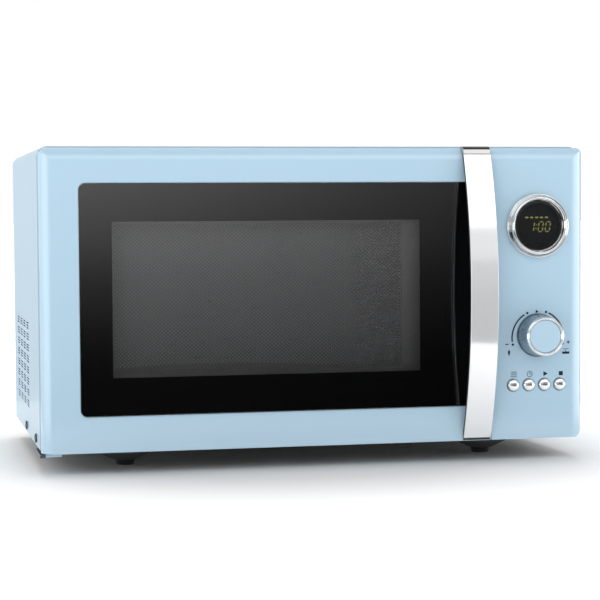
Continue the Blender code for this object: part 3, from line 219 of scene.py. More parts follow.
def screen_enamel_painted_light():
    """Thin grey enamel on the door's screen, with painted light: its colour is paler towards the top left, as
    if that part were lit more.
    """
    look = Look("grid_enamel_painted_light", (0.22, 0.22, 0.225), 0.5)
    # Painted light: the colour grows paler along this direction, towards the top left.
    towards_lit_corner = look.node("ShaderNodeVectorMath", operation="DOT_PRODUCT")
    look.link(look.place(), towards_lit_corner.inputs[0])
    towards_lit_corner.inputs[1].default_value = (-1.3, 0.0, 4.2)
    look.colours(towards_lit_corner.outputs["Value"], (0.185, 0.185, 0.19), (0.38, 0.38, 0.385), (0.30, 1.10))
    look.roughness(look.noise(90.0, 3.0), 0.45, 0.55)
    look.bump(look.noise(1500.0, 2.0), 0.00001, 0.4)
    return look.material


def galvanised():
    look = Look("zinc", (0.62, 0.63, 0.64), 0.38, metallic=1.0)
    look.colours(look.cells(260.0, output="Color"), (0.57, 0.58, 0.59), (0.68, 0.69, 0.70), (0.1, 0.9))
    look.roughness(look.cells(260.0), 0.36, 0.44, (0.0, 0.7))
    look.bump(look.cells(260.0), 0.00001, 0.3)
    return look.material


def plated(name, colour, roughness, depth, spread=0.02):
    """Smooth plating with a slow, shallow unevenness."""
    return metal(name, colour, roughness, scale=300.0, depth=depth, spread=spread)


def glass(name, colour, alpha, ior, roughness, shine=0.5):
    """Clear or tinted glass, with the faint unevenness of a wiped surface in its gloss."""
    look = Look(name, colour, roughness, IOR=ior, Alpha=alpha, Specular_IOR_Level=shine)
    look.roughness(look.noise(30.0, 5.0), roughness, roughness + 0.02)
    look.colours(look.noise(12.0, 3.0), shade(colour, 0.9), shade(colour, 1.1))
    return look.material


def satin_plate():
    """Satin plating on plastic: part clear reflection, part pale haze."""
    colour = (0.86, 0.87, 0.88)
    look = Look("satin_chrome", colour, 0.10, metallic=0.46)
    look.colours(look.noise(20.0, 3.0), shade(colour, 0.985), shade(colour, 1.01))
    look.roughness(look.noise(500.0, 2.0, (1.0, 1.0, 0.1)), 0.09, 0.12)
    look.bump(look.noise(260.0, 1.0, (1.0, 1.0, 0.2)), 0.0000008, 0.5)
    return look.material


def copper_winding():
    look = Look("winding", (0.48, 0.20, 0.08), 0.32, metallic=0.9, Coat_Weight=0.6, Coat_Roughness=0.15)
    turns = look.stripes(260.0, "Y")
    look.colours(turns, (0.30, 0.11, 0.04), (0.62, 0.27, 0.11), (0.0, 1.0))
    look.roughness(look.noise(300.0), 0.25, 0.42)
    look.bump(turns, 0.0004, 0.8)
    return look.material


def laminations():
    look = Look("laminations", (0.16, 0.16, 0.17), 0.5, metallic=0.8)
    sheets = look.stripes(620.0, "Y")
    look.colours(sheets, (0.09, 0.09, 0.10), (0.24, 0.24, 0.25), (0.0, 1.0))
    look.roughness(look.noise(200.0), 0.4, 0.62)
    look.bump(sheets, 0.0002, 0.7)
    return look.material


def circuit_board():
    look = Look("circuit", (0.02, 0.16, 0.07), 0.4, Coat_Weight=0.4)
    tracks = look.cells(160.0, "DISTANCE_TO_EDGE", stretch=(1.0, 1.0, 1.6))
    look.colours(tracks, (0.05, 0.26, 0.11), (0.015, 0.12, 0.05), (0.02, 0.09))
    look.roughness(look.noise(220.0), 0.32, 0.5)
    look.bump(tracks, 0.00006, 0.5)
    return look.material


def mica_sheet():
    look = Look("mica_sheet", (0.55, 0.47, 0.34), 0.5)
    look.colours(look.noise(55.0, 6.0, (1.0, 1.0, 2.5)), (0.42, 0.34, 0.22), (0.66, 0.58, 0.44))
    look.roughness(look.noise(150.0, 4.0), 0.35, 0.6)
    look.bump(look.noise(400.0, 4.0), 0.00005, 0.4)
    return look.material


def glowing(name, colour, strength):
    look = Look(name, shade(colour, 0.3), 0.5, Emission_Color=(*colour, 1.0), Emission_Strength=strength)
    look.colours(look.noise(500.0), shade(colour, 0.25), shade(colour, 0.35))
    return look.material


BLUE = (0.400, 0.567, 0.690)
LOOKS = {
    "painted_steel": enamel("blue_enamel_steel", BLUE, 0.40, 0.0000001, 0.2),
    "painted_plastic": enamel("blue_enamel_front", BLUE, 0.22),
    "cap_paint": enamel("blue_enamel_cap", (0.405, 0.575, 0.700), 0.38),
    "chrome": plated("chrome_plate", (0.86, 0.87, 0.88), 0.06, 0.000002),
    "satin": satin_plate(),
    "soft_chrome": plated("ring_plate", (0.90, 0.91, 0.92), 0.10, 0.00000005, 0.01),
    "button_plate": plated("button_plate", (0.84, 0.85, 0.86), 0.20, 0.0000002),
    # The plating painted darker, a painted reflection: it stands for the dark reflection on the handle's end.
    "dark_chrome": plated("chrome_painted_dark_reflection", (0.50, 0.49, 0.48), 0.12, 0.000001),
    "brushed_steel": metal("brushed_knob", (0.33, 0.39, 0.43), 0.30, (1.0, 0.25, 1.0), 1300.0, 0.00003, 0.10),
    "stainless": metal("stainless_sheet", (0.60, 0.60, 0.59), 0.32, (0.05, 1.0, 1.0), 1200.0, 0.000006, 0.06),
    "zinc_plate": galvanised(),
    "black_zinc": metal("black_zinc", (0.10, 0.10, 0.11), 0.35, depth=0.000002),
    "base_steel": moulded("base_coat", (0.085, 0.087, 0.090), 0.48, 0.00004, 900.0),
    "black_plastic": moulded("black_moulding", (0.022, 0.022, 0.023), 0.45),
    "grey_plastic": moulded("grey_moulding", (0.20, 0.205, 0.21), 0.45),
    "white_plastic": moulded("white_moulding", (0.72, 0.72, 0.69), 0.42),
    "rubber": moulded("foot_rubber", (0.018, 0.018, 0.018), 0.72, 0.00006, 700.0),
    "black_glass": glass("door_tint", (0.0015, 0.0015, 0.0018), 0.30, 2.5, 0.012, 1.0),
    "display_lens": glass("lens_tint", (0.006, 0.007, 0.008), 0.28, 1.5, 0.03),
    "tray_glass": glass("tray_clear", (0.62, 0.74, 0.70), 0.32, 1.5, 0.03),
    "mica": mica_sheet(),
    "copper": copper_winding(),
    "lamination": laminations(),
    "board": circuit_board(),
    "quartz": moulded("quartz_tube", (0.66, 0.62, 0.56), 0.35, 0.00002, 600.0),
    "lamp_glass": glass("lamp_clear", (0.80, 0.78, 0.70), 0.5, 1.5, 0.08),
    "mask": moulded("printed_mask", (0.0010, 0.0010, 0.0012), 0.6, 0.00001, 2000.0, 0.05),
    "grid": screen_enamel_painted_light(),
    "ink": moulded("printed_ink", (0.008, 0.016, 0.024), 0.5, 0.00001, 2000.0, 0.2),
    "digits": glowing("lit_segments", (0.44, 0.46, 0.13), 0.85),
    "dark": moulded("display_backing", (0.012, 0.013, 0.014), 0.5, 0.00001, 2000.0),
}


# ---- Mesh helpers --------------------------------------------------------------------------------
def filleted(points, closed=False, steps=6):
    """Rounds a path's corners. Each point is (across, up, radius)."""
    path = []
    count = len(points)
    for index, (across, up, radius) in enumerate(points):
        here = Vector((across, up))
        at_end = not closed and index in (0, count - 1)
        if radius <= 0 or at_end:
            path.append(tuple(here))
            continue
        before = (Vector(points[index - 1][:2]) - here).normalized()
        after = (Vector(points[(index + 1) % count][:2]) - here).normalized()
        half = before.angle(after) / 2
        centre = here + (before + after).normalized() * (radius / math.sin(half))
        start = here + before * (radius / math.tan(half)) - centre
        end = here + after * (radius / math.tan(half)) - centre
        first = math.atan2(start.y, start.x)
        sweep = math.remainder(math.atan2(end.y, end.x) - first, 2 * math.pi)
        for k in range(steps + 1):
            angle = first + sweep * k / steps
            path.append((centre.x + radius * math.cos(angle), centre.y + radius * math.sin(angle)))
    return path


def arc(centre, radius, start_deg, end_deg, steps):
    angles = [math.radians(start_deg + (end_deg - start_deg) * i / steps) for i in range(steps + 1)]
    return [(centre[0] + radius * math.cos(a), centre[1] + radius * math.sin(a)) for a in angles]


def outline(x, z, radii, steps=8):
    """A rectangle with its own radius at each corner: low left, low right, top right, top left."""
    corners = [(x[0], z[0]), (x[1], z[0]), (x[1], z[1]), (x[0], z[1])]
    return filleted([(*corner, radius) for corner, radius in zip(corners, radii)], True, steps)


def in_scene(name, data):
    obj = bpy.data.objects.new(name, data)
    bpy.context.scene.collection.objects.link(obj)
    return obj


def as_object(name, shape):
    mesh = bpy.data.meshes.new(name)
    shape.to_mesh(mesh)
    shape.free()
    return in_scene(name, mesh)


def from_bmesh(name, shape):
    bmesh.ops.remove_doubles(shape, verts=shape.verts, dist=1e-7)
    bmesh.ops.recalc_face_normals(shape, faces=shape.faces)
    return as_object(name, shape)


def lofted(name, rings):
    """Skins a stack of outlines, each a list of 3D points, and closes both ends."""
    shape = bmesh.new()
    rows = [[shape.verts.new(point) for point in ring] for ring in rings]
    for back, front in zip(rows, rows[1:]):
        for i in range(len(back)):
            j = (i + 1) % len(back)
            shape.faces.new((back[i], back[j], front[j], front[i]))
    shape.faces.new(reversed(rows[0]))
    shape.faces.new(rows[-1])
    return from_bmesh(name, shape)


def extruded(name, path, plane, low, high):
    """A closed outline in the XY, XZ or YZ plane, extruded between two limits along the third axis."""
    place = {
        "XY": lambda a, b, c: (a, b, c),
        "XZ": lambda a, b, c: (a, c, b),
        "YZ": lambda a, b, c: (c, a, b),
    }[plane]
    return lofted(name, [[place(a, b, level) for a, b in path] for level in (low, high)])


def turned(name, profile, centre, direction=UPRIGHT, steps=64, closed=False):
    """A turned piece. The profile is (radius, height); a radius of 0 closes it on the axis."""
    shape = bmesh.new()
    place = Matrix.Translation(centre) @ direction
    rows = []
    for radius, height in profile:
        count = 1 if radius == 0 else steps
        row = [shape.verts.new(place @ Vector((radius * math.cos(2 * math.pi * i / steps),
                                               radius * math.sin(2 * math.pi * i / steps), height)))
               for i in range(count)]
        rows.append(row)
    pairs = list(zip(rows, rows[1:])) + ([(rows[-1], rows[0])] if closed else [])
    for upper, lower in pairs:
        for i in range(steps):
            j = (i + 1) % steps
            corners = [upper[i % len(upper)], upper[j % len(upper)],
                       lower[j % len(lower)], lower[i % len(lower)]]
            shape.faces.new(list(dict.fromkeys(corners)))
    return from_bmesh(name, shape)


def rod(name, radius, towards_lit_corner, centre, direction=UPRIGHT):
    """A plain cylinder between two heights along its axis, to cut holes with."""
    low, high = towards_lit_corner
    return turned(name, [(0, high), (radius, high), (radius, low), (0, low)], centre, direction, 24)


def box(name, x, y, z, rounding=0.0, steps=3, edges="all"):
    shape = bmesh.new()
    size = Vector((x[1] - x[0], y[1] - y[0], z[1] - z[0]))
    centre = Vector((x[1] + x[0], y[1] + y[0], z[1] + z[0])) / 2
    bmesh.ops.create_cube(shape, size=1.0, matrix=Matrix.Translation(centre) @ Matrix.Diagonal((*size, 1.0)))
    if rounding:
        axis = {"x": 0, "y": 1, "z": 2}.get(edges)
        chosen = [e for e in shape.edges if axis is None
                  or abs((e.verts[1].co - e.verts[0].co)[axis]) > 0.99 * e.calc_length()]
        bmesh.ops.bevel(shape, geom=chosen, offset=rounding, segments=steps, profile=0.5, affect="EDGES")
    return from_bmesh(name, shape)


def merged(name, pieces):
    """Gathers separate closed pieces into one object without welding them."""
    shape = bmesh.new()
    for part in pieces:
        shape.from_mesh(part.data)
        bpy.data.objects.remove(part)
    return as_object(name, shape)


def applied(obj):
    """Bakes an object's modifiers into its mesh."""
    bpy.context.view_layer.update()
    depsgraph = bpy.context.evaluated_depsgraph_get()
    mesh = bpy.data.meshes.new_from_object(obj.evaluated_get(depsgraph))
    obj.modifiers.clear()
    obj.data = mesh
    return obj


def boolean(obj, others, operation):
    for other in others:
        step = obj.modifiers.new(operation, "BOOLEAN")
        step.operation = operation
        step.solver = "EXACT"
        step.object = other
    applied(obj)
    for other in others:
        bpy.data.objects.remove(other)
    return obj


def cut(obj, *cutters):
    return boolean(obj, cutters, "DIFFERENCE")


def join(obj, *others):
    return boolean(obj, others, "UNION")


def bevelled(obj, width, segments=2, angle=30.0):
    step = obj.modifiers.new("edges", "BEVEL")
    step.width = width
    step.segments = segments
    step.limit_method = "ANGLE"
    step.angle_limit = math.radians(angle)
    return applied(obj)


def smooth(obj, angle=35.0):
    """Smooth shading with flat faces kept flat."""
    obj.data.shade_smooth()
    obj.data.set_sharp_from_angle(angle=math.radians(angle))
    step = obj.modifiers.new("normals", "WEIGHTED_NORMAL")
    step.keep_sharp = True
    step.weight = 100
    return applied(obj)


def piece(obj, name, body, look, nodes=(), angle=35.0):
    """Finishes an object as a shown piece: name, shading, material, body and the nodes it replaces."""
    smooth(obj, angle)
    obj.name = name
    obj.data.name = name
    obj.data.materials.clear()
    obj.data.materials.append(LOOKS[look])
    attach(obj, body)
    if nodes:
        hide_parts(*nodes)
    return obj


# ---- Materials of the CAD nodes that stay --------------------------------------------------------
for part in frame["record"]["subparts"]:
    node = frame["nodes"][part["node"]]
    node.data.materials.clear()
    node.data.materials.append(LOOKS[part["material_slot"]])


# ---- Door and control panel mouldings ------------------------------------------------------------
def ring_at(y, x, z, radii, left, right, top):
    """One outline of a front moulding, drawn in by an inset at its left, right and top."""
    inset = max(left, right, top)
    shrunk = [max(radius - inset, 0.0008) for radius in radii]
    path = outline((x[0] + left, x[1] - right), (z[0], z[1] - top), shrunk)
    return [(a, y, b) for a, b in path]


def front_rounding(steps=14):
    """(y, inset) pairs from the pin round to the face."""
    angles = [math.radians(90 * i / steps) for i in range(steps + 1)]
    return [(PIN_Y - EDGE_R * math.sin(a), EDGE_R * (1 - math.cos(a))) for a in angles]


def rear_rounding(steps=6):
    """(y, inset) pairs from the back to the pin, round which the door's edge swings."""
    depth = FASCIA_BACK - PIN_Y
    reaches = [depth * (steps - i) / steps for i in range(steps)]
    return [(PIN_Y + reach, EDGE_R - math.sqrt(EDGE_R ** 2 - reach ** 2)) for reach in reaches]


def drawn_in(depth, radius):
    """How far a rounded edge is drawn in at a depth behind the face."""
    left = max(radius - depth, 0.0)
    return radius - math.sqrt(radius ** 2 - left ** 2)


def door_frame():
    """The door's moulding, with its glass opening and the slot and holes for its hinges."""
    z = PANEL_Z
    radii = (0.0008, 0.0008, 0.0008, 0.006)
    rings = [ring_at(y, DOOR_X, z, radii, inset, 0, 0) for y, inset in rear_rounding()]
    rings += [ring_at(y, DOOR_X, z, radii, inset, 0, inset) for y, inset in front_rounding()]
    frame_piece = lofted("door_frame_fine", rings)
    hinge_block = -0.2190
    pocket = box("pocket", (hinge_block, DOOR_X[1] - SKIN), (FACE_Y + SKIN, FASCIA_BACK + PAST),
                 (z[0] + SKIN, z[1] - SKIN - SHEET), 0.003, 3, "y")
    flare = 0.0020
    bore_r = 0.0028
    rings = []
    for y, wider in ((FACE_Y - 0.0010, flare), (FACE_Y + 0.0010, 0.0), (FACE_Y + 2 * SKIN, 0.0)):
        rings.append([(a, y, b) for a, b in outline((GLASS_X[0] - wider, GLASS_X[1] + wider),
                                                    (GLASS_Z[0] - wider, GLASS_Z[1] + wider),
                                                    (GLASS_CORNER_R + wider,) * 4)])
    opening = lofted("opening", rings)
    lower_hole = rod("lower_hole", bore_r, (-PAST, PAST), (PIN_X, PIN_Y, z[0]))
    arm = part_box("upper_hinge")[1].z
    arm_half = 0.0040
    slot = box("slot", (DOOR_X[0] - PAST, PIN_X + arm_half), (PIN_Y - arm_half, FASCIA_BACK + PAST),
               (arm - 0.0019, arm + GAP))
    upper_hole = rod("upper_hole", bore_r, (-0.0125, 0), (PIN_X, PIN_Y, arm))
    cut(frame_piece, pocket, opening, lower_hole, slot, upper_hole)
    piece(frame_piece, "door_moulding", "door", "painted_plastic", ["door_frame"], 40)


def control_panel():
    """The fixed fascia, whose right side and top are rounded, with holes for the controls."""
    radii = (0.0008, 0.009, 0.006, 0.0008)
    rings = [ring_at(FASCIA_BACK, PANEL_X, PANEL_Z, radii, 0, 0, 0)]
    steps = 20
    for step in range(steps + 1):
        depth = PANEL_EDGE_R * (1 - math.sin(math.radians(90 * step / steps)))
        right, top = drawn_in(depth, PANEL_EDGE_R), drawn_in(depth, EDGE_R)
        rings.append(ring_at(FACE_Y + depth, PANEL_X, PANEL_Z, radii, 0, right, top))
    panel = lofted("panel_fine", rings)
    wall = SKIN + 0.0005
    pocket = box("pocket", (PANEL_X[0] + SKIN, PANEL_X[1] - wall), (FACE_Y + 2 * SKIN, FASCIA_BACK + PAST),
                 (PANEL_Z[0] + SKIN, PANEL_Z[1] - wall - SHEET), 0.006, 5, "y")
    cutters = [pocket, round_cut("display_hole", DISPLAY, DISPLAY_HOLE_R, PAST),
               round_cut("knob_recess", KNOB, KNOB_RECESS_R, 0.0020),
               round_cut("shaft_hole", KNOB, 0.0045, PAST)]
    cutters += [round_cut("button_hole", (x, BUTTON_Z), BUTTON_HOLE_R, PAST, 40) for x in BUTTON_X]
    cut(panel, *cutters)
    piece(panel, "control_panel_moulding", "casing", "painted_plastic",
          ["control_panel"], 40)


def round_cut(name, at, radius, depth, steps=80):
    """A cutter for a round hole from the front, with a small chamfer at the face."""
    lip = 0.0004
    profile = [(0, PAST), (radius + lip, PAST), (radius + lip, 0.0001), (radius, -lip),
               (radius, -depth), (0, -depth)]
    return turned(name, profile, (at[0], FACE_Y, at[1]), TOWARDS_FRONT, steps)


def handle():
    """The bowed band: a black core with a plated skin, and a plated end that wraps over the door's top, its
    plating painted darker to stand for a dark reflection.
    """
    low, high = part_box("handle")
    middle = (low.z + high.z) / 2
    half = (high.z - low.z) / 2
    bow = 0.026
    end_gap = 0.0018
    sagitta = bow - end_gap
    thick = 0.004
    cap_drop = 0.0070
    low_trim = 0.0020
    radius = (half ** 2 + sagitta ** 2) / (2 * sagitta)
    centre = (FACE_Y - bow + radius, middle)
    outer = math.degrees(math.asin((half - cap_drop) / radius))
    inner_radius = radius - thick
    rest_y = FACE_Y - GAP
    inner = math.degrees(math.acos((centre[0] - rest_y) / inner_radius))
    skin = 0.0009
    low_end = math.degrees(math.asin((half - low_trim) / radius))
    steps = 64
    front = arc(centre, radius, 180 + low_end, 180 - outer, steps)
    behind = arc(centre, radius - skin, 180 - outer, 180 + low_end, steps)
    plate = extruded("plate", front + behind, "YZ", low.x, high.x)
    bevelled(plate, 0.0004, 3, 50)
    piece(plate, "handle_skin", "door", "satin", ["handle"], 40)
    split = front[-1][1]
    last = math.radians(180 - outer)
    reach = (high.z - split) / -math.cos(last)
    corner = (front[-1][0] + reach * math.sin(last), high.z)
    top = filleted([(*front[-1], 0), (*corner, 0.0052), (FACE_Y + 0.0075, high.z, 0)], steps=10)
    top += arc((PIN_Y, PANEL_Z[1] - EDGE_R), EDGE_R + GAP, 112, 150, 8)
    top += [(rest_y, split)]
    cap = extruded("cap", top, "YZ", low.x, high.x)
    bevelled(cap, 0.0006, 3, 50)
    # Painted reflection: the end's plating is darker to stand for the dark reflection it shows.
    piece(cap, "handle_end", "door", "dark_chrome", angle=40)
    core = arc(centre, radius - skin - 0.00005, 180 + low_end, 180 - outer, steps)
    core += [(rest_y, split - 0.0001)]
    core += arc(centre, inner_radius, 180 - inner, 180 + inner, steps) + [(rest_y, low.z)]
    inset = 0.0002
    piece(extruded("core", core, "YZ", low.x + inset, high.x - inset), "handle_core", "door",
          "black_plastic", angle=40)


# ---- Door glass, printed mask and screen ---------------------------------------------------------
def door_glass():
    """The tinted pane, and the black print behind it that leaves the window free."""
    front = FACE_Y + 0.0005
    thick = 0.0032
    x = (GLASS_X[0] + GAP, GLASS_X[1] - GAP)
    z = (GLASS_Z[0] + GAP, GLASS_Z[1] - GAP)
    path = outline(x, z, (GLASS_CORNER_R - GAP,) * 4)
    pane = extruded("pane", path, "XZ", front, front + thick)
    bevelled(pane, 0.0003, 2, 50)
    piece(pane, "door_pane", "door", "black_glass", ["door_glass"], 40)
    mask = extruded("mask", path, "XZ", front + thick + 0.0002, front + thick + 0.0004)
    cut(mask, extruded("view", outline(WINDOW_X, WINDOW_Z, (0.0006,) * 4), "XZ", front, front + PAST))
    piece(mask, "door_pane_print", "door", "mask")


def grid_part(name, x, z, columns, rows, part, y):
    """Part of the perforated screen: hexagonal holes in a lattice of diamond cells.

    The lattice has columns of holes between the x limits. The part is a range of them, and its
    inner edge follows the cells, so that two parts fit together.
    """
    half_x = (x[1] - x[0]) / columns / 2
    half_z = (z[1] - z[0]) / rows
    hole_r = 0.00080
    vertices, faces, known = [], [], {}

    def vertex(across, up, key=None):
        key = key or (round(across * 1e6), round(up * 1e6))
        if key not in known:
            known[key] = len(vertices)
            vertices.append((across, y[0], up))
        return known[key]

    def corner(column, row):
        """A lattice point, counted in half cells."""
        return vertex(x[0] + column * half_x, z[0] + row * half_z, (column, row, "corner"))

    for row in range(rows + 1):
        shift = 1 if row % 2 == 0 else 2
        for index in range(*part):
            column = 2 * index + shift
            if column >= 2 * columns:
                continue
            if row in (0, rows):
                apex = corner(column, 1 if row == 0 else rows - 1)
                faces.append((corner(column - 1, row), corner(column + 1, row), apex))
                continue
            c = [corner(column + 1, row), corner(column, row + 1),
                 corner(column - 1, row), corner(column, row - 1)]
            centre = (x[0] + column * half_x, z[0] + row * half_z)
            h = [vertex(centre[0] + hole_r * math.cos(math.radians(60 * k)),
                        centre[1] + hole_r * math.sin(math.radians(60 * k))) for k in range(6)]
            faces += [(c[0], c[1], h[1], h[0]), (c[1], h[2], h[1]), (c[1], c[2], h[3], h[2]),
                      (c[2], c[3], h[4], h[3]), (c[3], h[5], h[4]), (c[3], c[0], h[0], h[5])]
        if row % 2 == 1:
            for side, column in ((part[0] == 0, 0), (part[1] == columns, 2 * columns)):
                if side:
                    inner = corner(column + (1 if column == 0 else -1), row)
                    faces.append((corner(column, row - 1), inner, corner(column, row + 1)))
    used = {}
    for face_ring in faces:
        for a, b in zip(face_ring, face_ring[1:] + face_ring[:1]):
            used[frozenset((a, b))] = None if frozenset((a, b)) in used else (a, b)
    count = len(vertices)
    vertices += [(across, y[1], up) for across, _, up in vertices]
    walls = [(a, b, b + count, a + count) for a, b in filter(None, used.values())]
    faces += [tuple(index + count for index in reversed(ring)) for ring in faces] + walls
    mesh = bpy.data.meshes.new(name)
    mesh.from_pydata(vertices, [], faces)
    shape = bmesh.new()
    shape.from_mesh(mesh)
    bmesh.ops.recalc_face_normals(shape, faces=shape.faces)
    shape.to_mesh(mesh)
    shape.free()
    return in_scene(name, mesh)


def door_screen():
    """The pressed pan, with its perforated window in two stretches."""
    low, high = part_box("door_inner_plate")
    rear = (high.y - SHEET, high.y)
    hole_x = (WINDOW_X[0] + 0.003, WINDOW_X[1] - 0.013)
    hole_z = (WINDOW_Z[0] + 0.002, WINDOW_Z[1] - 0.002)
    pan = box("pan", (low.x, high.x), (low.y, high.y), (low.z, high.z), 0.003, 4, "y")
    inside = box("inside", (low.x + SHEET, high.x - SHEET), (low.y - SHEET, rear[0]),
                 (low.z + SHEET, high.z - SHEET), 0.002, 4, "y")
    view = box("view", (hole_x[0] - GAP, hole_x[1] + GAP), (rear[0] - PAST, rear[1] + PAST),
               (hole_z[0] - GAP, hole_z[1] + GAP))
    cut(pan, inside, view)
    piece(pan, "door_pan", "door", "grid", ["door_inner_plate"], 40)
    columns = 74
    row_pitch = 0.0031
    rows = 2 * round((hole_z[1] - hole_z[0]) / row_pitch)
    for name, part in (("door_screen_left", (0, columns // 2)),
                       ("door_screen_right", (columns // 2, columns))):
        half = grid_part(name, hole_x, hole_z, columns, rows, part, rear)
        half.data.materials.append(LOOKS["grid"])
        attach(half, "door")


# ---- Controls ------------------------------------------------------------------------------------
def face(at):
    return (at[0], FACE_Y, at[1])


def display():
    """The crowned bezel with its flange, the lens and what is lit behind it."""
    bezel_profile = filleted([
        (0.0221, 0.0036, 0), (0.0223, 0.0050, 0.0002), (0.0229, 0.0070, 0.0008),
        (0.0240, 0.0082, 0.0010), (0.0252, 0.0076, 0.0009), (0.0258, 0.0060, 0.0006),
        (0.0259, 0.0030, 0.0003), (0.0265, 0.0026, 0.0002), (0.0270, 0.0036, 0.0004),
        (0.0281, 0.0036, 0.0010), (BEZEL_R, 0.0020, 0.0007), (BEZEL_R, GAP, 0)])
    bezel_profile += [(DISPLAY_HOLE_R, GAP), (DISPLAY_HOLE_R, 0.0036)]
    bezel = turned("bezel", bezel_profile, face(DISPLAY), TOWARDS_FRONT, 128, closed=True)
    piece(bezel, "display_ring", "casing", "chrome", ["display_bezel"], 35)
    lens_profile = [(0, 0.0052)] + filleted([
        (0.0150, 0.0051, 0), (LENS_EDGE_R, 0.0048, 0.0003), (LENS_EDGE_R, 0.0040, 0)]) + [(0, 0.0040)]
    lens = turned("lens", lens_profile, face(DISPLAY), TOWARDS_FRONT, 96)
    piece(lens, "display_window", "casing", "display_lens", ["display_lens"], 30)
    backing = turned("backing", [(0, BACKING_FRONT), (0.0198, BACKING_FRONT), (0.0198, 0.0010), (0, 0.0010)],
                     face(DISPLAY), TOWARDS_FRONT, 96)
    piece(backing, "display_backing", "casing", "dark", angle=30)
    lit_segments()


# Each segment's two ends, in widths and heights of a digit.
SEGMENTS = {
    "a": ((0.12, 1.0), (0.88, 1.0)), "b": ((1.0, 0.92), (1.0, 0.55)), "c": ((1.0, 0.45), (1.0, 0.08)),
    "d": ((0.12, 0.0), (0.88, 0.0)), "e": ((0.0, 0.08), (0.0, 0.45)), "f": ((0.0, 0.55), (0.0, 0.92)),
}
SLANT = math.tan(math.radians(9))


def bar(start, end, width, y, depth=0.00015):
    """A thin flat bar between two points on a plane that faces the front, with cut ends."""
    start, end = Vector(start), Vector(end)
    towards_lit_corner = (end - start).normalized()
    side = Vector((-towards_lit_corner.y, towards_lit_corner.x)) * width / 2
    tip = towards_lit_corner * width / 2
    path = [start, start + tip + side, end - tip + side, end, end - tip - side, start + tip - side]
    return extruded("bar", [tuple(p) for p in path], "XZ", y - depth, y)


def lit_segments():
    """Digits and a row of five dashes on the display."""
    y = FACE_Y - BACKING_FRONT
    height = 0.0086
    width = 0.0040
    stroke_width = 0.0009
    foot = DISPLAY[1] - 0.0053
    bars = []
    for left, lit in ((0.1919, "bc"), (0.1962, "abcdef"), (0.2028, "abcdef")):
        base = left - (width if lit == "bc" else 0.0)
        for key in lit:
            ends = []
            for across, up in SEGMENTS[key]:
                ends.append((base + across * width + up * height * SLANT, foot + up * height))
            bars.append(bar(*ends, stroke_width, y))
    for up in (0.3, 0.7):
        x = 0.1941 + up * height * SLANT
        z = foot + up * height
        bars.append(bar((x - 0.0006, z), (x + 0.0006, z), 0.0011, y))
    dash_pitch, dash, dash_z = 0.0046, 0.0033, DISPLAY[1] + 0.0072
    for index in range(5):
        x = 0.1842 + index * dash_pitch
        bars.append(bar((x, dash_z), (x + dash, dash_z), 0.0014, y))
    piece(merged("digits", bars), "display_segments", "casing", "digits", angle=30)


def knob():
    """The knob's ribbed skirt, its plated ring and its painted cap."""
    rim = 0.022
    seat = 0.0195
    steps = 216
    groove = 0.00022
    skirt = filleted([(0.0145, seat, 0), (0.0171, seat, 0), (0.0171, 0.0188, 0), (0.0184, 0.0040, 0.0006),
                      (0.0185, -0.0002, 0.0002)])
    skirt += [(0.0165, -0.0002), (0.0157, 0.0180), (0.0060, 0.0180), (0.0060, 0.0010), (0.0033, 0.0010),
              (0.0033, 0.0140), (0.0, 0.0140)]
    body = turned("skirt", [(0.0, seat)] + skirt, face(KNOB), TOWARDS_FRONT, steps)
    for vertex in body.data.vertices:
        radial = Vector((vertex.co.x - KNOB[0], 0.0, vertex.co.z - KNOB[1]))
        towards_lit_corner = round(math.degrees(math.atan2(radial.z, radial.x)) * steps / 360)
        if radial.length > 0.0168 and FACE_Y - 0.0190 < vertex.co.y < FACE_Y and towards_lit_corner % 3 == 0:
            vertex.co -= radial.normalized() * groove
    piece(body, "knob_skirt", "knob", "brushed_steel", ["knob"], 35)
    ring_profile = filleted([
        (0.0145, 0.0196, 0), (0.0146, 0.0212, 0.0002), (0.0150, 0.0217, 0.0002), (0.0153, 0.0212, 0.0002),
        (0.0160, 0.0219, 0.0006), (0.0170, 0.0212, 0.0006), (0.0172, 0.0196, 0)])
    ring = turned("ring", ring_profile, face(KNOB), TOWARDS_FRONT, 120, closed=True)
    piece(ring, "knob_ring", "knob", "soft_chrome", angle=35)
    cap_profile = [(0, rim - 0.0008)] + filleted([
        (0.0120, rim - 0.0008, 0), (0.0142, rim - 0.0009, 0.0004), (0.01435, 0.0198, 0)]) + [(0, 0.0198)]
    cap = turned("cap", cap_profile, face(KNOB), TOWARDS_FRONT, 96)
    piece(cap, "knob_cap_disc", "knob", "cap_paint", ["knob_cap"], 35)


def buttons():
    """Domed caps on collars behind the panel, each with a small printed mark."""
    collar = -SKIN - GAP
    tip = 0.0030
    rise, base = 0.0018, tip - 0.0018
    dome = [(0.0, tip)] + [(0.0051 * math.sin(a), base + rise * math.cos(a))
                           for a in map(math.radians, range(8, 90, 8))]
    profile = dome + [(0.0053, 0.0008), (0.0053, collar), (0.0065, collar), (0.0065, collar - 0.0012),
                      (0.0018, collar - 0.0012), (0.0018, -0.0095), (0.0, -0.0095)]
    for index, x in enumerate(BUTTON_X, start=1):
        button = turned("button", profile, (x, FACE_Y, BUTTON_Z), TOWARDS_FRONT, 64)
        piece(button, f"button_{index}_dome", f"button_{index}", "button_plate",
              [f"button_{index}"], 35)
        marks = []
        for across, up in (((-0.0018, 0.0018), (-0.0002, 0.0001)), ((-0.0016, -0.0012), (0.0, 0.0014))):
            shape = outline((x + across[0], x + across[1]), (BUTTON_Z + up[0], BUTTON_Z + up[1]),
                            (0.0001,) * 4, 2)
            marks.append(extruded("mark", shape, "XZ", FACE_Y - tip - 0.00002, FACE_Y - 0.0027))
        piece(merged("mark", marks), f"button_{index}_mark", f"button_{index}", "ink",
              angle=30)


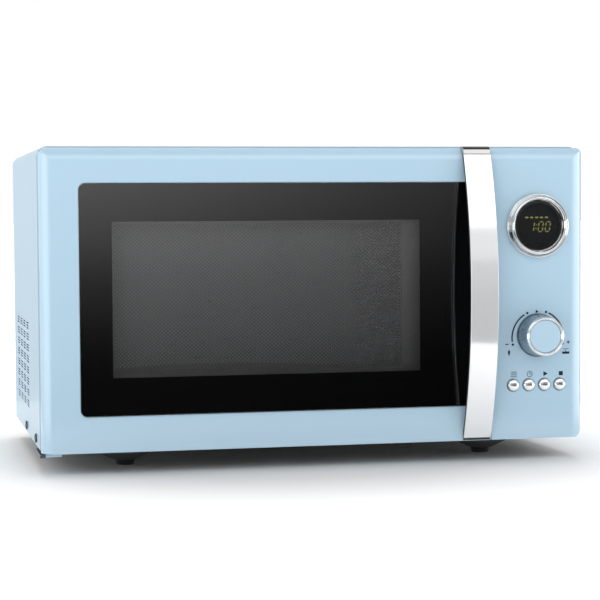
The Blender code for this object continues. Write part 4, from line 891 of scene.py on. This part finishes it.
# ---- Printed marks -------------------------------------------------------------------------------
INK_Y = (FACE_Y - 0.00006, FACE_Y + 0.0001)


def printed(path):
    return extruded("print", path, "XZ", *INK_Y)


def curved_band(centre, radius, width, start, end, steps=24):
    """A curved stroke on the panel's face, as a flat closed shape."""
    outer = arc(centre, radius + width / 2, start, end, steps)
    inner = arc(centre, radius - width / 2, end, start, steps)
    return printed(outer + inner)


def dot(x, z, radius):
    return printed(arc((x, z), radius, 0, 345, 23))


def stroke(start, end, width=0.0005):
    start, end = Vector(start), Vector(end)
    side = (end - start).normalized().orthogonal() * width / 2
    path = [start + side, end + side, end - side, start - side]
    return printed([tuple(p) for p in path])


def ring_mark(x, z, radius, width=0.0005):
    disc = printed(arc((x, z), radius, 0, 350, 35))
    hole = extruded("hole", arc((x, z), radius - width, 0, 350, 35), "XZ", INK_Y[0] - PAST, INK_Y[1] + PAST)
    return cut(disc, hole)


def clock_mark(x, z, size):
    return [ring_mark(x, z, size), stroke((x, z), (x, z + size * 0.65)), stroke((x, z), (x + size * 0.5, z))]


def wave_mark(x, z, size):
    marks = []
    for level in (-0.7, 0.0, 0.7):
        up = z + level * size
        for k in range(4):
            left = x - size + k * size / 2
            rise = size * 0.22 * (1 if k % 2 == 0 else -1)
            marks.append(stroke((left, up - rise), (left + size / 2, up + rise)))
    return marks


def play_mark(x, z, size):
    corners = [(x - size * 0.6, z - size * 0.8), (x + size * 0.9, z), (x - size * 0.6, z + size * 0.8)]
    return [printed(corners)]


def stop_mark(x, z, size):
    square = outline((x - size * 0.7, x + size * 0.7), (z - size * 0.7, z + size * 0.7), (0.0002,) * 4, 3)
    return [printed(square)]


def leaf_mark(x, z, size):
    blade = arc((x - size * 0.5, z), size * 1.1, -45, 45, 10)
    blade += arc((x + size * 1.06, z), size * 1.1, 135, 225, 10)
    stem = x + size * 0.3
    return [printed(blade), stroke((stem, z - size), (stem, z - size * 0.4))]


def scale_mark(x, z, size):
    plate = outline((x - size, x + size), (z - size * 0.8, z - size * 0.2), (0.0002,) * 4, 3)
    top = z + size * 0.5
    return [printed(plate), stroke((x - size * 0.8, top), (x + size * 0.8, top)),
            stroke((x, top), (x, z - size * 0.3))]


def printed_marks():
    """The arcs around the knob with their dots and signs, and a small symbol for each control."""
    centre = (KNOB[0] + 0.0002, KNOB[1] - 0.0023)
    radius = 0.02405
    marks = [curved_band(centre, radius, 0.0013, *angles) for angles in ((121, 188), (-8, 65))]
    for angle in (114, 194, 71, -14):
        a = math.radians(angle)
        marks.append(dot(centre[0] + radius * math.cos(a), centre[1] + radius * math.sin(a), 0.0011))
    minus, plus = (0.1684, 0.1044), (0.2259, 0.1053)
    marks.append(stroke((minus[0] - 0.0015, minus[1]), (minus[0] + 0.0015, minus[1]), 0.0009))
    marks.append(stroke((plus[0] - 0.0014, plus[1]), (plus[0] + 0.0014, plus[1]), 0.0008))
    marks.append(stroke((plus[0], plus[1] + 0.0004), (plus[0], plus[1] + 0.0014), 0.0008))
    marks.append(stroke((plus[0], plus[1] - 0.0014), (plus[0], plus[1] - 0.0004), 0.0008))
    marks += leaf_mark(0.1694, 0.0971, 0.0032)
    marks += scale_mark(0.2236, 0.0976, 0.0034)
    marks += play_mark(0.1964, 0.1332, 0.0018)
    for x, mark in zip((0.1748, 0.1896, 0.2041, 0.2189), (wave_mark, clock_mark, play_mark, stop_mark)):
        marks += mark(x, 0.0776, 0.0027)
    piece(merged("marks", marks), "panel_marks", "casing", "ink", angle=30)


# ---- Casing --------------------------------------------------------------------------------------
def stadium(x, z, length, height, steps=4):
    """A slot's outline with round ends."""
    half = length / 2 - height / 2
    return arc((x + half, z), height / 2, -90, 90, steps) + arc((x - half, z), height / 2, 90, 270, steps)


def outer_cabinet():
    """The folded sheet with its three-slot vents and screw holes."""
    low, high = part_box("outer_cabinet")
    bend = 0.009
    corners = [(low.x, low.z, 0), (low.x, high.z, bend), (high.x, high.z, bend), (high.x, low.z, 0)]
    outer = filleted(corners, steps=14)
    inner_corners = [(low.x + SHEET, low.z, 0), (low.x + SHEET, high.z - SHEET, bend - SHEET),
                     (high.x - SHEET, high.z - SHEET, bend - SHEET), (high.x - SHEET, low.z, 0)]
    path = outer + list(reversed(filleted(inner_corners, steps=14)))
    cabinet = extruded("cabinet", path, "XZ", low.y, high.y)
    openings = []
    group_y, group_z, column_pitch, row_pitch, slot_pitch = -0.0155, 0.0500, 0.0370, 0.0102, 0.0024
    for column in range(4):
        for row in range(8):
            for slot in (-1, 0, 1):
                path = stadium(group_y + column * column_pitch, group_z + row * row_pitch + slot * slot_pitch,
                               0.025, 0.0014)
                openings.append(extruded("slot", path, "YZ", low.x - 0.002, low.x + 0.003))
    for side in (low.x, high.x):
        for y in SCREW_Y:
            openings.append(rod("hole", 0.0021, (-0.003, 0.003), (side, y, SCREW_Z), TOWARDS_RIGHT))
    cut(cabinet, merged("openings", openings))
    piece(cabinet, "cabinet_sheet", "casing", "painted_steel", ["outer_cabinet"], 40)


def base_plate():
    """The bottom pan with its pressed bosses."""
    low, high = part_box("base_plate")
    pan = box("pan", (low.x, high.x), (low.y, high.y), (BASE_Z, high.z))
    cut(pan, box("inside", (low.x + SHEET, high.x - SHEET), (low.y - SHEET, high.y + SHEET),
                 (BASE_Z + SHEET, high.z + SHEET)))
    foot_boss = [(0.0315, BASE_Z, 0), (0.0295, BASE_Z, 0.002), (0.0262, 0.0122, 0.003),
                 (0.0110, 0.0048, 0.002)]
    places = [((0.0920, -0.0880), [(0.0200, BASE_Z, 0), (0.0180, BASE_Z, 0.002), (0.0090, 0.0095, 0.002)])]
    places += [(foot_centre(name), foot_boss) for name in FEET]
    for place, profile in places:
        rounded = filleted(profile + [(0.0, profile[-1][1], 0)], steps=6)
        outer = [(0.0, BASE_Z + SHEET / 2), (profile[0][0], BASE_Z + SHEET / 2)] + rounded
        join(pan, turned("boss", outer, (*place, 0), steps=72))
        top_r = profile[1][0] - SHEET
        inner = filleted([(top_r, BASE_Z + 0.0005, 0)]
                         + [(radius - SHEET, z + SHEET, rounding) for radius, z, rounding in profile[2:]]
                         + [(0.0, profile[-1][1] + SHEET, 0)], steps=6)
        hollow = [(0.0, BASE_Z + 4 * SHEET), (top_r, BASE_Z + 4 * SHEET)] + inner
        cut(pan, turned("hollow", hollow, (*place, 0), steps=72))
    for name in FEET:
        x, y = foot_centre(name)
        cut(pan, rod("hole", 0.0034, (0, BASE_Z), (x, y, 0)))
    piece(pan, "base_pan", "casing", "base_steel", ["base_plate"], 35)


def foot_centre(name):
    low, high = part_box(name)
    return ((low.x + high.x) / 2, (low.y + high.y) / 2)


def lower_hinge():
    """The lower hinge: a plate under the door's corner with its pin, and an ear at the cabinet's side."""
    low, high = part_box("lower_hinge")
    half, top = 0.0060, 0.0192
    plate = box("plate", (-0.2392, PIN_X + half), (PIN_Y - half, high.y), (low.z, top), 0.0015, 3, "z")
    ear = box("ear", (-0.2438, -0.2394), (PIN_Y - half, high.y), (low.z - 0.0006, top), 0.0006, 2)
    step = box("step", (PIN_X - half, PIN_X + half), (-0.1350, high.y), (low.z, BASE_Z - GAP))
    pin = turned("pin", [(0, 0.0090), (0.0022, 0.0090), (0.0025, 0.0086), (0.0025, -0.0010), (0, -0.0010)],
                 (PIN_X, PIN_Y, top), steps=24)
    join(plate, step, pin)
    piece(plate, "lower_hinge_plate", "casing", "painted_steel", ["lower_hinge"], 35)
    piece(ear, "lower_hinge_ear", "casing", "black_zinc", angle=35)


def feet():
    """Rubber pads with a stem through the base."""
    profile = [(0.0, 0.0115), (0.0022, 0.0115), (0.0030, 0.0105), (0.0030, 0.0045)]
    profile += filleted([(0.0030, 0.0045, 0), (0.0085, 0.0045, 0.0004), (0.0082, 0.0022, 0.0003),
                         (0.0076, 0.0, 0.0005), (0.0060, 0.0, 0)])[1:]
    profile += [(0.0055, 0.0006), (0.0, 0.0006)]
    for name in FEET:
        foot = turned("foot", profile, (*foot_centre(name), 0), steps=48)
        piece(foot, name + "_pad", "casing", "rubber", [name], 35)


def screws():
    """Pan heads with a cross recess."""
    head_r, head, shank_r, shank = 0.0040, 0.0018, 0.0014, 0.0060
    long, narrow = 0.0020, 0.0004
    profile = [(0.0, head)] + filleted([(0.0020, head, 0), (head_r, 0.0014, 0.0008), (head_r, GAP, 0)])
    profile += [(shank_r, GAP), (shank_r, -shank), (0.0, -shank)]
    for side, word, direction in ((-1, "left", TOWARDS_LEFT), (1, "right", TOWARDS_RIGHT)):
        x = sorted((side * (HALF_WIDTH + 0.0008), side * (HALF_WIDTH + 0.003)))
        for y, place in zip(SCREW_Y, ("front", "rear")):
            screw = turned("screw", profile, (side * HALF_WIDTH, y, SCREW_Z), direction, 40)
            for size_y, size_z in ((long, narrow), (narrow, long)):
                cut(screw, box("recess", x, (y - size_y, y + size_y), (SCREW_Z - size_z, SCREW_Z + size_z)))
            piece(screw, f"screw_head_{word}_{place}", "casing", "black_zinc",
                  [f"screw_{word}_{place}"], 35)


# ---- Stage, light and camera ---------------------------------------------------------------------
def stage():
    """A plain pale floor, which glows more the further it lies from the object: painted light that whitens
    its far part while the part near the object stays unlit. Its far part stays out of reflections, as a small
    table top's would.
    """
    look = Look("floor_paper_painted_glow", (0.88, 0.88, 0.88), 0.9, Emission_Color=(1, 1, 1, 1))
    look.colours(look.noise(3.0), (0.875, 0.875, 0.875), (0.885, 0.885, 0.885))
    # Painted light: the emission rises with the distance from the origin, from none within 0.22 m to 0.8 from
    # 0.8 m out.
    distance = look.node("ShaderNodeVectorMath", operation="LENGTH")
    look.link(look.place(), distance.inputs[0])
    look.link(look.spread(distance.outputs["Value"], 0.0, 0.8, (0.22, 0.80)),
              look.shader.inputs["Emission Strength"])
    near_r, far_r = 0.58, 60.0
    near = turned("floor_near", [(0, 0), (near_r, 0)], (0, 0, 0), steps=96)
    far = turned("floor_far", [(near_r, 0), (far_r, 0)], (0, 0, 0), steps=96)
    far.visible_glossy = False
    for floor in (near, far):
        floor.data.materials.append(look.material)


def area_light(name, place, size, power):
    """A square light that faces the origin and doesn't show in reflections."""
    light = bpy.data.lights.new(name, "AREA")
    light.shape = "RECTANGLE"
    light.size = size
    light.size_y = size
    light.energy = power
    obj = in_scene(name, light)
    obj.location = place
    obj.rotation_euler = (-Vector(place)).to_track_quat("-Z", "Y").to_euler()
    obj.visible_glossy = False


# The faint light from the front, as (elevation, level), and the levels of the panels.
FRONT_GLOW = ((-10.0, 0.010), (-5.0, 0.012), (-4.2, 0.022), (-3.5, 0.045), (-2.9, 0.08), (-2.2, 0.12),
              (-1.6, 0.18), (-0.3, 0.36), (1.0, 0.52), (4.0, 0.56), (10.0, 0.56))
GLOW_LOW, GLOW_HIGH = FRONT_GLOW[0][0], FRONT_GLOW[-1][0]
TOP_PANEL = 1.75
SIDE_PANEL = 3.0
LEFT_WALL = 1.15
RIGHT_WALL = 0.85
BACK_PANEL = 0.88


def world():
    """A dark room with pale panels around the object: above the front, at both sides and behind it.

    A panel has azimuth limits, elevation limits and a level, and two widths over which its edges
    blur. Angles are in degrees, with the front at azimuth 0 and the right at 90. The camera sees
    plain white.
    """
    sky = bpy.data.worlds.new("studio")
    sky.use_nodes = True
    tree = sky.node_tree

    def link(value, socket):
        if isinstance(value, (int, float)):
            socket.default_value = value
        else:
            tree.links.new(value, socket)

    def calculate(operation, *values):
        step = tree.nodes.new("ShaderNodeMath")
        step.operation = operation
        for value, socket in zip(values, step.inputs):
            link(value, socket)
        return step.outputs[0]

    def rise(value, low, high, start=0.0, end=1.0, course="SMOOTHSTEP"):
        step = tree.nodes.new("ShaderNodeMapRange")
        step.interpolation_type = course
        for setting, socket in zip((value, low, high, start, end), step.inputs):
            link(setting, socket)
        return step.outputs[0]

    coordinates = tree.nodes.new("ShaderNodeTexCoord")
    split = tree.nodes.new("ShaderNodeSeparateXYZ")
    tree.links.new(coordinates.outputs["Generated"], split.inputs[0])
    across, deep, up = split.outputs
    azimuth = calculate("DEGREES", calculate("ARCTAN2", across, calculate("MULTIPLY", deep, -1.0)))
    elevation = calculate("DEGREES", calculate("ARCSINE", up))
    side = calculate("ABSOLUTE", azimuth)

    def panel(angle, angles, heights, level, soft=2.0, edge=1.0):
        shape = level
        for value, low, high, blur in ((angle, *angles, soft), (elevation, *heights, edge)):
            shape = calculate("MULTIPLY", shape, rise(value, low - blur, low + blur))
            shape = calculate("MULTIPLY", shape, rise(value, high - blur, high + blur, 1.0, 0.0))
        return shape

    glow = tree.nodes.new("ShaderNodeValToRGB")
    glow.color_ramp.elements.remove(glow.color_ramp.elements[0])
    for index, (height, level) in enumerate(FRONT_GLOW):
        place = (height - GLOW_LOW) / (GLOW_HIGH - GLOW_LOW)
        element = glow.color_ramp.elements[0] if index == 0 else glow.color_ramp.elements.new(place)
        element.position = place
        element.color = (level, level, level, 1.0)
    tree.links.new(rise(elevation, GLOW_LOW, GLOW_HIGH, course="LINEAR"), glow.inputs["Fac"])
    towards_right = rise(azimuth, 3.0, 20.0, 1.0, 0.25)
    low_sky = rise(elevation, 4.0, 10.0)
    fade = calculate("MAXIMUM", towards_right, low_sky)
    total = calculate("MULTIPLY", glow.outputs["Color"], fade)
    total = calculate("MULTIPLY", total, rise(elevation, 50.0, 65.0, 1.0, 0.15))
    for shape in (panel(side, (-10.0, 52.0), (17.6, 50.0), TOP_PANEL, 4.0, 0.5),
                  panel(azimuth, (-95.0, -34.0), (-12.0, 7.0), SIDE_PANEL, 12.0, 2.0),
                  panel(azimuth, (48.0, 118.0), (-12.0, 7.0), SIDE_PANEL, 12.0, 2.0),
                  panel(azimuth, (-150.0, -78.0), (-30.0, 55.0), LEFT_WALL, 12.0, 8.0),
                  panel(azimuth, (38.0, 110.0), (-30.0, 55.0), RIGHT_WALL, 12.0, 8.0),
                  panel(side, (166.0, 190.0), (-25.0, 40.0), BACK_PANEL, 3.0, 4.0)):
        total = calculate("MAXIMUM", total, shape)
    path = tree.nodes.new("ShaderNodeLightPath")
    seen = tree.nodes.new("ShaderNodeMix")
    seen.inputs[3].default_value = 1.0
    tree.links.new(path.outputs["Is Camera Ray"], seen.inputs[0])
    tree.links.new(total, seen.inputs[2])
    background = tree.nodes["Background"]
    background.inputs["Color"].default_value = (1.0, 1.0, 1.0, 1.0)
    tree.links.new(seen.outputs[0], background.inputs["Strength"])
    bpy.context.scene.world = sky


def camera():
    """The camera fitted to the photograph: yaw to the right, pitch down and roll, in radians."""
    yaw, pitch, roll = 0.2199, 0.04523, -0.00689
    across = Vector((math.cos(yaw), -math.sin(yaw), 0.0))
    ahead = Vector((math.sin(yaw), math.cos(yaw), 0.0))
    up = Vector((0.0, 0.0, 1.0))
    view = ahead * math.cos(pitch) - up * math.sin(pitch)
    top = up * math.cos(pitch) + ahead * math.sin(pitch)
    right = across * math.cos(roll) + top * math.sin(roll)
    top = top * math.cos(roll) - across * math.sin(roll)
    data = bpy.data.cameras.new("camera")
    data.lens = 112.14
    data.sensor_width = 36.0
    obj = in_scene("camera", data)
    columns = Matrix((right, top, -view)).transposed().to_4x4()
    obj.matrix_world = Matrix.Translation((-0.3713, -1.7359, 0.2200)) @ columns
    bpy.context.scene.camera = obj


door_frame()
control_panel()
handle()
door_glass()
door_screen()
display()
knob()
buttons()
printed_marks()
outer_cabinet()
base_plate()
lower_hinge()
feet()
screws()
stage()
world()
area_light("overhead", (0.0, 0.65, 2.4), 2.0, 38)
camera()
bpy.context.scene.view_settings.view_transform = "Standard"
